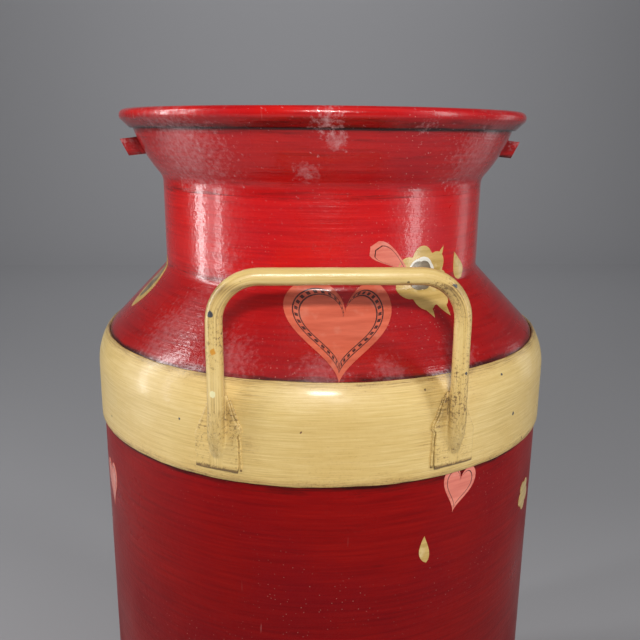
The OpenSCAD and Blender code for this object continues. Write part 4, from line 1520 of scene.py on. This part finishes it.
def cut_out(name, outline, azimuth, height, material, tilt=0, lift=0.16, rings=(), cells=3.0):
    """A cut-out glued to the can. rings are (size, material, every) bands drawn inside its edge,
    each as large as the whole times its size: every is 1 for an unbroken printed line and 2 for a
    row of dashes."""
    piece = fill(name, outline)
    heights = [z for _, z in outline]
    centre = (0, 0, (0.1 * min(heights) + 0.2 * max(heights)) * MM)
    for paper in [material] + [ring[1] for ring in rings]:
        piece.data.materials.append(paper)
    size_before, every_before = 1, 1
    for number, (size, _, every) in enumerate(rings, 1):
        shrink = size / size_before
        bpy.ops.mesh.inset(thickness=0)
        bpy.ops.transform.resize(value=(shrink, 1, shrink), center_override=centre)
        bpy.ops.object.mode_set(mode="OBJECT")
        for p in piece.data.polygons:
            if p.select:
                p.material_index = number
            p.use_smooth = False
        # The band outside the new ring is that of the ring before: one face to each point
        around = [p for p in piece.data.polygons if not p.select]
        for step, p in enumerate(around[-len(outline):]):
            p.material_index = number - 1 if step % every_before == 0 else 0
        size_before, every_before = size, every
        bpy.ops.object.mode_set(mode="EDIT")
    score(outline, cells)
    lay_on_can(piece, azimuth, height, tilt, lift)
    bpy.ops.object.mode_set(mode="EDIT")
    bpy.ops.mesh.select_all(action="SELECT")
    bpy.ops.mesh.quads_convert_to_tris()
    bpy.ops.mesh.normals_make_consistent(inside=False)
    bpy.ops.object.mode_set(mode="OBJECT")
    spot = piece.data.polygons[0]
    outward = spot.normal.dot(Vector((spot.center.x, spot.center.y, 0))) > 0
    apply(piece, "SOLIDIFY", thickness=PAPER * MM, offset=-1 if outward else 1)
    turn_out()
    bpy.ops.object.shade_smooth_by_angle(angle=math.radians(40))
    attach(piece, "can")


def heart(width, height, count=64, sway=0.0):
    """Outline of a plain heart, from its cleft round the right lobe to the tip and back. sway
    moves the cleft sideways, as on one cut out by hand."""
    points = []
    for i in range(count):
        t = 2 * math.pi * i / count
        x = 16 * math.sin(t) ** 3
        z = 13 * math.cos(t) - 6 * math.cos(2 * t) - 2.5 * math.cos(3 * t) - 1.2 * math.cos(4 * t)
        middle = sway * (1 - abs(x) / 16) * (z + 17.5) / 22
        points.append((x * width / 32 + middle, (z + 2.7) * height / 30))
    return points


def flower(radius, petals, depth, count=72):
    """Scalloped outline with pointed dips between its petals."""
    points = []
    for i in range(count):
        t = 2 * math.pi * i / count
        r = radius * (1 - depth + depth * abs(math.cos(petals * t / 2)) ** 0.7)
        points.append((r * math.cos(t), r * math.sin(t)))
    return points


def leaf(length, width, bow=0.0, count=26, plump=0.8):
    """Pointed drop, its sharp end up; bow bends it sideways, a smaller plump rounds its foot."""
    right, left = [], []
    for i in range(count // 2 + 1):
        t = i / (count // 2)
        half = width / 2 * math.sin(math.pi * t ** plump) ** 0.9 * (1 - 0.25 * t)
        z = (t - 0.5) * length
        middle = bow * (1 - 4 * (t - 0.5) ** 2)
        right.append((middle + half, z))
        left.append((middle - half, z))
    return right + list(reversed(left[1:-1]))


def border(paper, edge, dashes):
    """Printed border of a heart: one line, or a row of dashes between two lines."""
    if not dashes:
        return ((edge, INK, 1), (edge - 0.045, paper, 1))
    return ((edge, INK, 1), (edge - 0.026, paper, 1), (edge - 0.040, INK, 2), (edge - 0.105, paper, 1),
            (edge - 0.118, INK, 1), (edge - 0.146, paper, 1))


def make_cut_outs():
    """Hearts, flowers and leaves, first those that show from the front."""
    cut_out("heart_large", heart(54, 54, 96, sway=3.4), 0.7, 379.2, CORAL, tilt=3,
            rings=border(CORAL, 0.84, True))
    cut_out("heart_small", heart(21, 24, 40), 27.4, 300.0, PINK, tilt=14, rings=border(PINK, 0.8, False))
    cut_out("petal_coral", leaf(27, 11, -1.5, plump=0.5), 18.0, 409.8, PINK, tilt=124,
            rings=border(PINK, 0.8, False), cells=2.5)
    cut_out("flower_gold", flower(18, 7, 0.24), 30.4, 398.4, GOLD, tilt=8)
    cut_out("flower_white", flower(8.8, 5, 0.06, 40), 29.5, 402.0, WHITE, lift=0.30)
    cut_out("flower_heart", flower(8.2, 6, 0.10, 40), 29.1, 400.9, OLIVE, lift=0.44)
    cut_out("petal_spike", leaf(8, 3.0), 37.8, 411.5, GOLD, tilt=30)
    cut_out("petal_drop", leaf(17, 10.5, -0.8, plump=0.6), 48.0, 403.4, GOLD, tilt=-30)
    cut_out("petal_leaf", leaf(14, 6.2, -1.4), 27.2, 386.6, GOLD, tilt=158)
    cut_out("petal_round", leaf(15, 7.2, 0.8), 33.9, 387, GOLD, tilt=174)
    cut_out("leaf_low", leaf(15, 6.4, -0.8), 19.6, 271.5, GOLD, tilt=-6)
    cut_out("motif_right", flower(9.5, 5, 0.3, 50), 57.5, 272, GOLD, tilt=20)
    cut_out("heart_left", heart(20, 26, 40), -66.5, 275, PINK, tilt=-6, rings=border(PINK, 0.8, False))
    cut_out("leaf_left_large", leaf(37, 19, 2.5, 34), -77, 386.5, GOLD, tilt=-12)
    cut_out("leaf_left_dark", leaf(27, 10.5, 2.0, 30), -77.2, 388, OLIVE, tilt=-12, lift=0.30)
    # The back is dressed in the same way
    cut_out("heart_back", heart(42, 40), 151, 381, CORAL, tilt=6, rings=border(CORAL, 0.84, True))
    cut_out("flower_back", flower(15, 6, 0.26), 205, 250, GOLD, tilt=4)
    cut_out("flower_back_heart", flower(6.4, 6, 0.10, 40), 205, 250, OLIVE, lift=0.30)
    cut_out("leaf_back_high", leaf(17, 7, 1.2), 213.5, 262, GOLD, tilt=40)
    cut_out("leaf_back_low", leaf(17, 7, -1.2), 196, 237, GOLD, tilt=215)
    cut_out("heart_back_low", heart(22, 25, 40), 120, 190, PINK, tilt=-10,
            rings=border(PINK, 0.8, False))


# ---------------------------------------------------------------- studio

def area_light(name, place, aim, size, power, tint=(1, 1, 1)):
    """A rectangular soft box aimed at a point: size is its width and height in metres."""
    data = bpy.data.lights.new(name, "AREA")
    data.shape = "RECTANGLE"
    data.size, data.size_y = size
    data.energy = power
    data.color = tint
    lamp = bpy.data.objects.new(name, data)
    bpy.context.scene.collection.objects.link(lamp)
    lamp.location = place
    lamp.rotation_euler = (Vector(aim) - Vector(place)).to_track_quat("-Z", "Y").to_euler()


def beside(azimuth, distance, height):
    """A place round the can, its azimuth measured from the front to the right."""
    a = math.radians(azimuth)
    return (distance * math.sin(a), -distance * math.cos(a), height)


def make_studio():
    middle = (0, 0, 0.40)
    area_light("key", (-0.03, -0.93, 0.83), middle, (0.20, 0.06), 6.8, (1.0, 0.97, 0.93))
    area_light("front_fill", (0.10, -1.25, 0.74), middle, (0.24, 0.16), 1.3)
    area_light("strip_left_rear", beside(-93, 1.25, 0.68), middle, (0.13, 1.3), 7.5)
    area_light("strip_left", beside(-77, 1.25, 0.68), middle, (0.08, 1.3), 4.2)
    area_light("strip_right", beside(61, 1.25, 0.68), middle, (0.20, 1.3), 6)
    area_light("broad_right", beside(112, 1.4, 0.40), middle, (0.30, 0.75), 0.7)
    area_light("overhead", (0.2, -0.5, 1.8), middle, (1.2, 0.9), 0.9)
    area_light("backdrop_wash", (0, 0.9, 2.2), (0, 3.2, 1.7), (2.2, 0.4), 30)

    bpy.context.scene.view_settings.view_transform = "Standard"
    world = bpy.data.worlds.new("studio")
    bpy.context.scene.world = world
    world.use_nodes = True
    air = world.node_tree.nodes["Background"]
    air.inputs["Color"].default_value = (0.50, 0.51, 0.53, 1)
    air.inputs["Strength"].default_value = 0.14

    # One sheet of studio paper, in metres: the floor, a wide curve and the backdrop
    sweep = [(-4, 0), (2.2, 0)] + bend(2.2, 1.0, 1.0, -90, 0, 6) + [(3.2, 4)]
    paper = draw("studio_paper", [(0, y / MM, z / MM) for y, z in sweep])
    bpy.ops.mesh.select_all(action="SELECT")
    bpy.ops.mesh.extrude_region_move(TRANSFORM_OT_translate={"value": (10, 0, 0)})
    bpy.ops.mesh.select_all(action="SELECT")
    bpy.ops.transform.translate(value=(-5, 0, 0))
    settle(paper, 60)
    grey = bpy.data.materials.new("studio_paper")
    grey.use_nodes = True
    matt = grey.node_tree.nodes["Principled BSDF"]
    matt.inputs["Base Color"].default_value = (0.42, 0.42, 0.44, 1)
    matt.inputs["Roughness"].default_value = 0.85
    paper.data.materials.append(grey)


# ---------------------------------------------------------------- making the can

make_body()
make_seam()
make_bottom()
make_foot_hoop()
make_shoulder()
make_shoulder_hoop()
make_mouth()
make_lid()
make_handles()
make_lid_handle()
make_cut_outs()
# Lugs and wires are kept from the CAD as they are, and only painted
for node, material in (("left_lug", RED_LUG), ("right_lug", RED_LUG),
                       ("rim_wire", TIN_WIRE), ("lid_wire", TIN_WIRE)):
    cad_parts[node].data.materials.clear()
    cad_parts[node].data.materials.append(material)
make_studio()
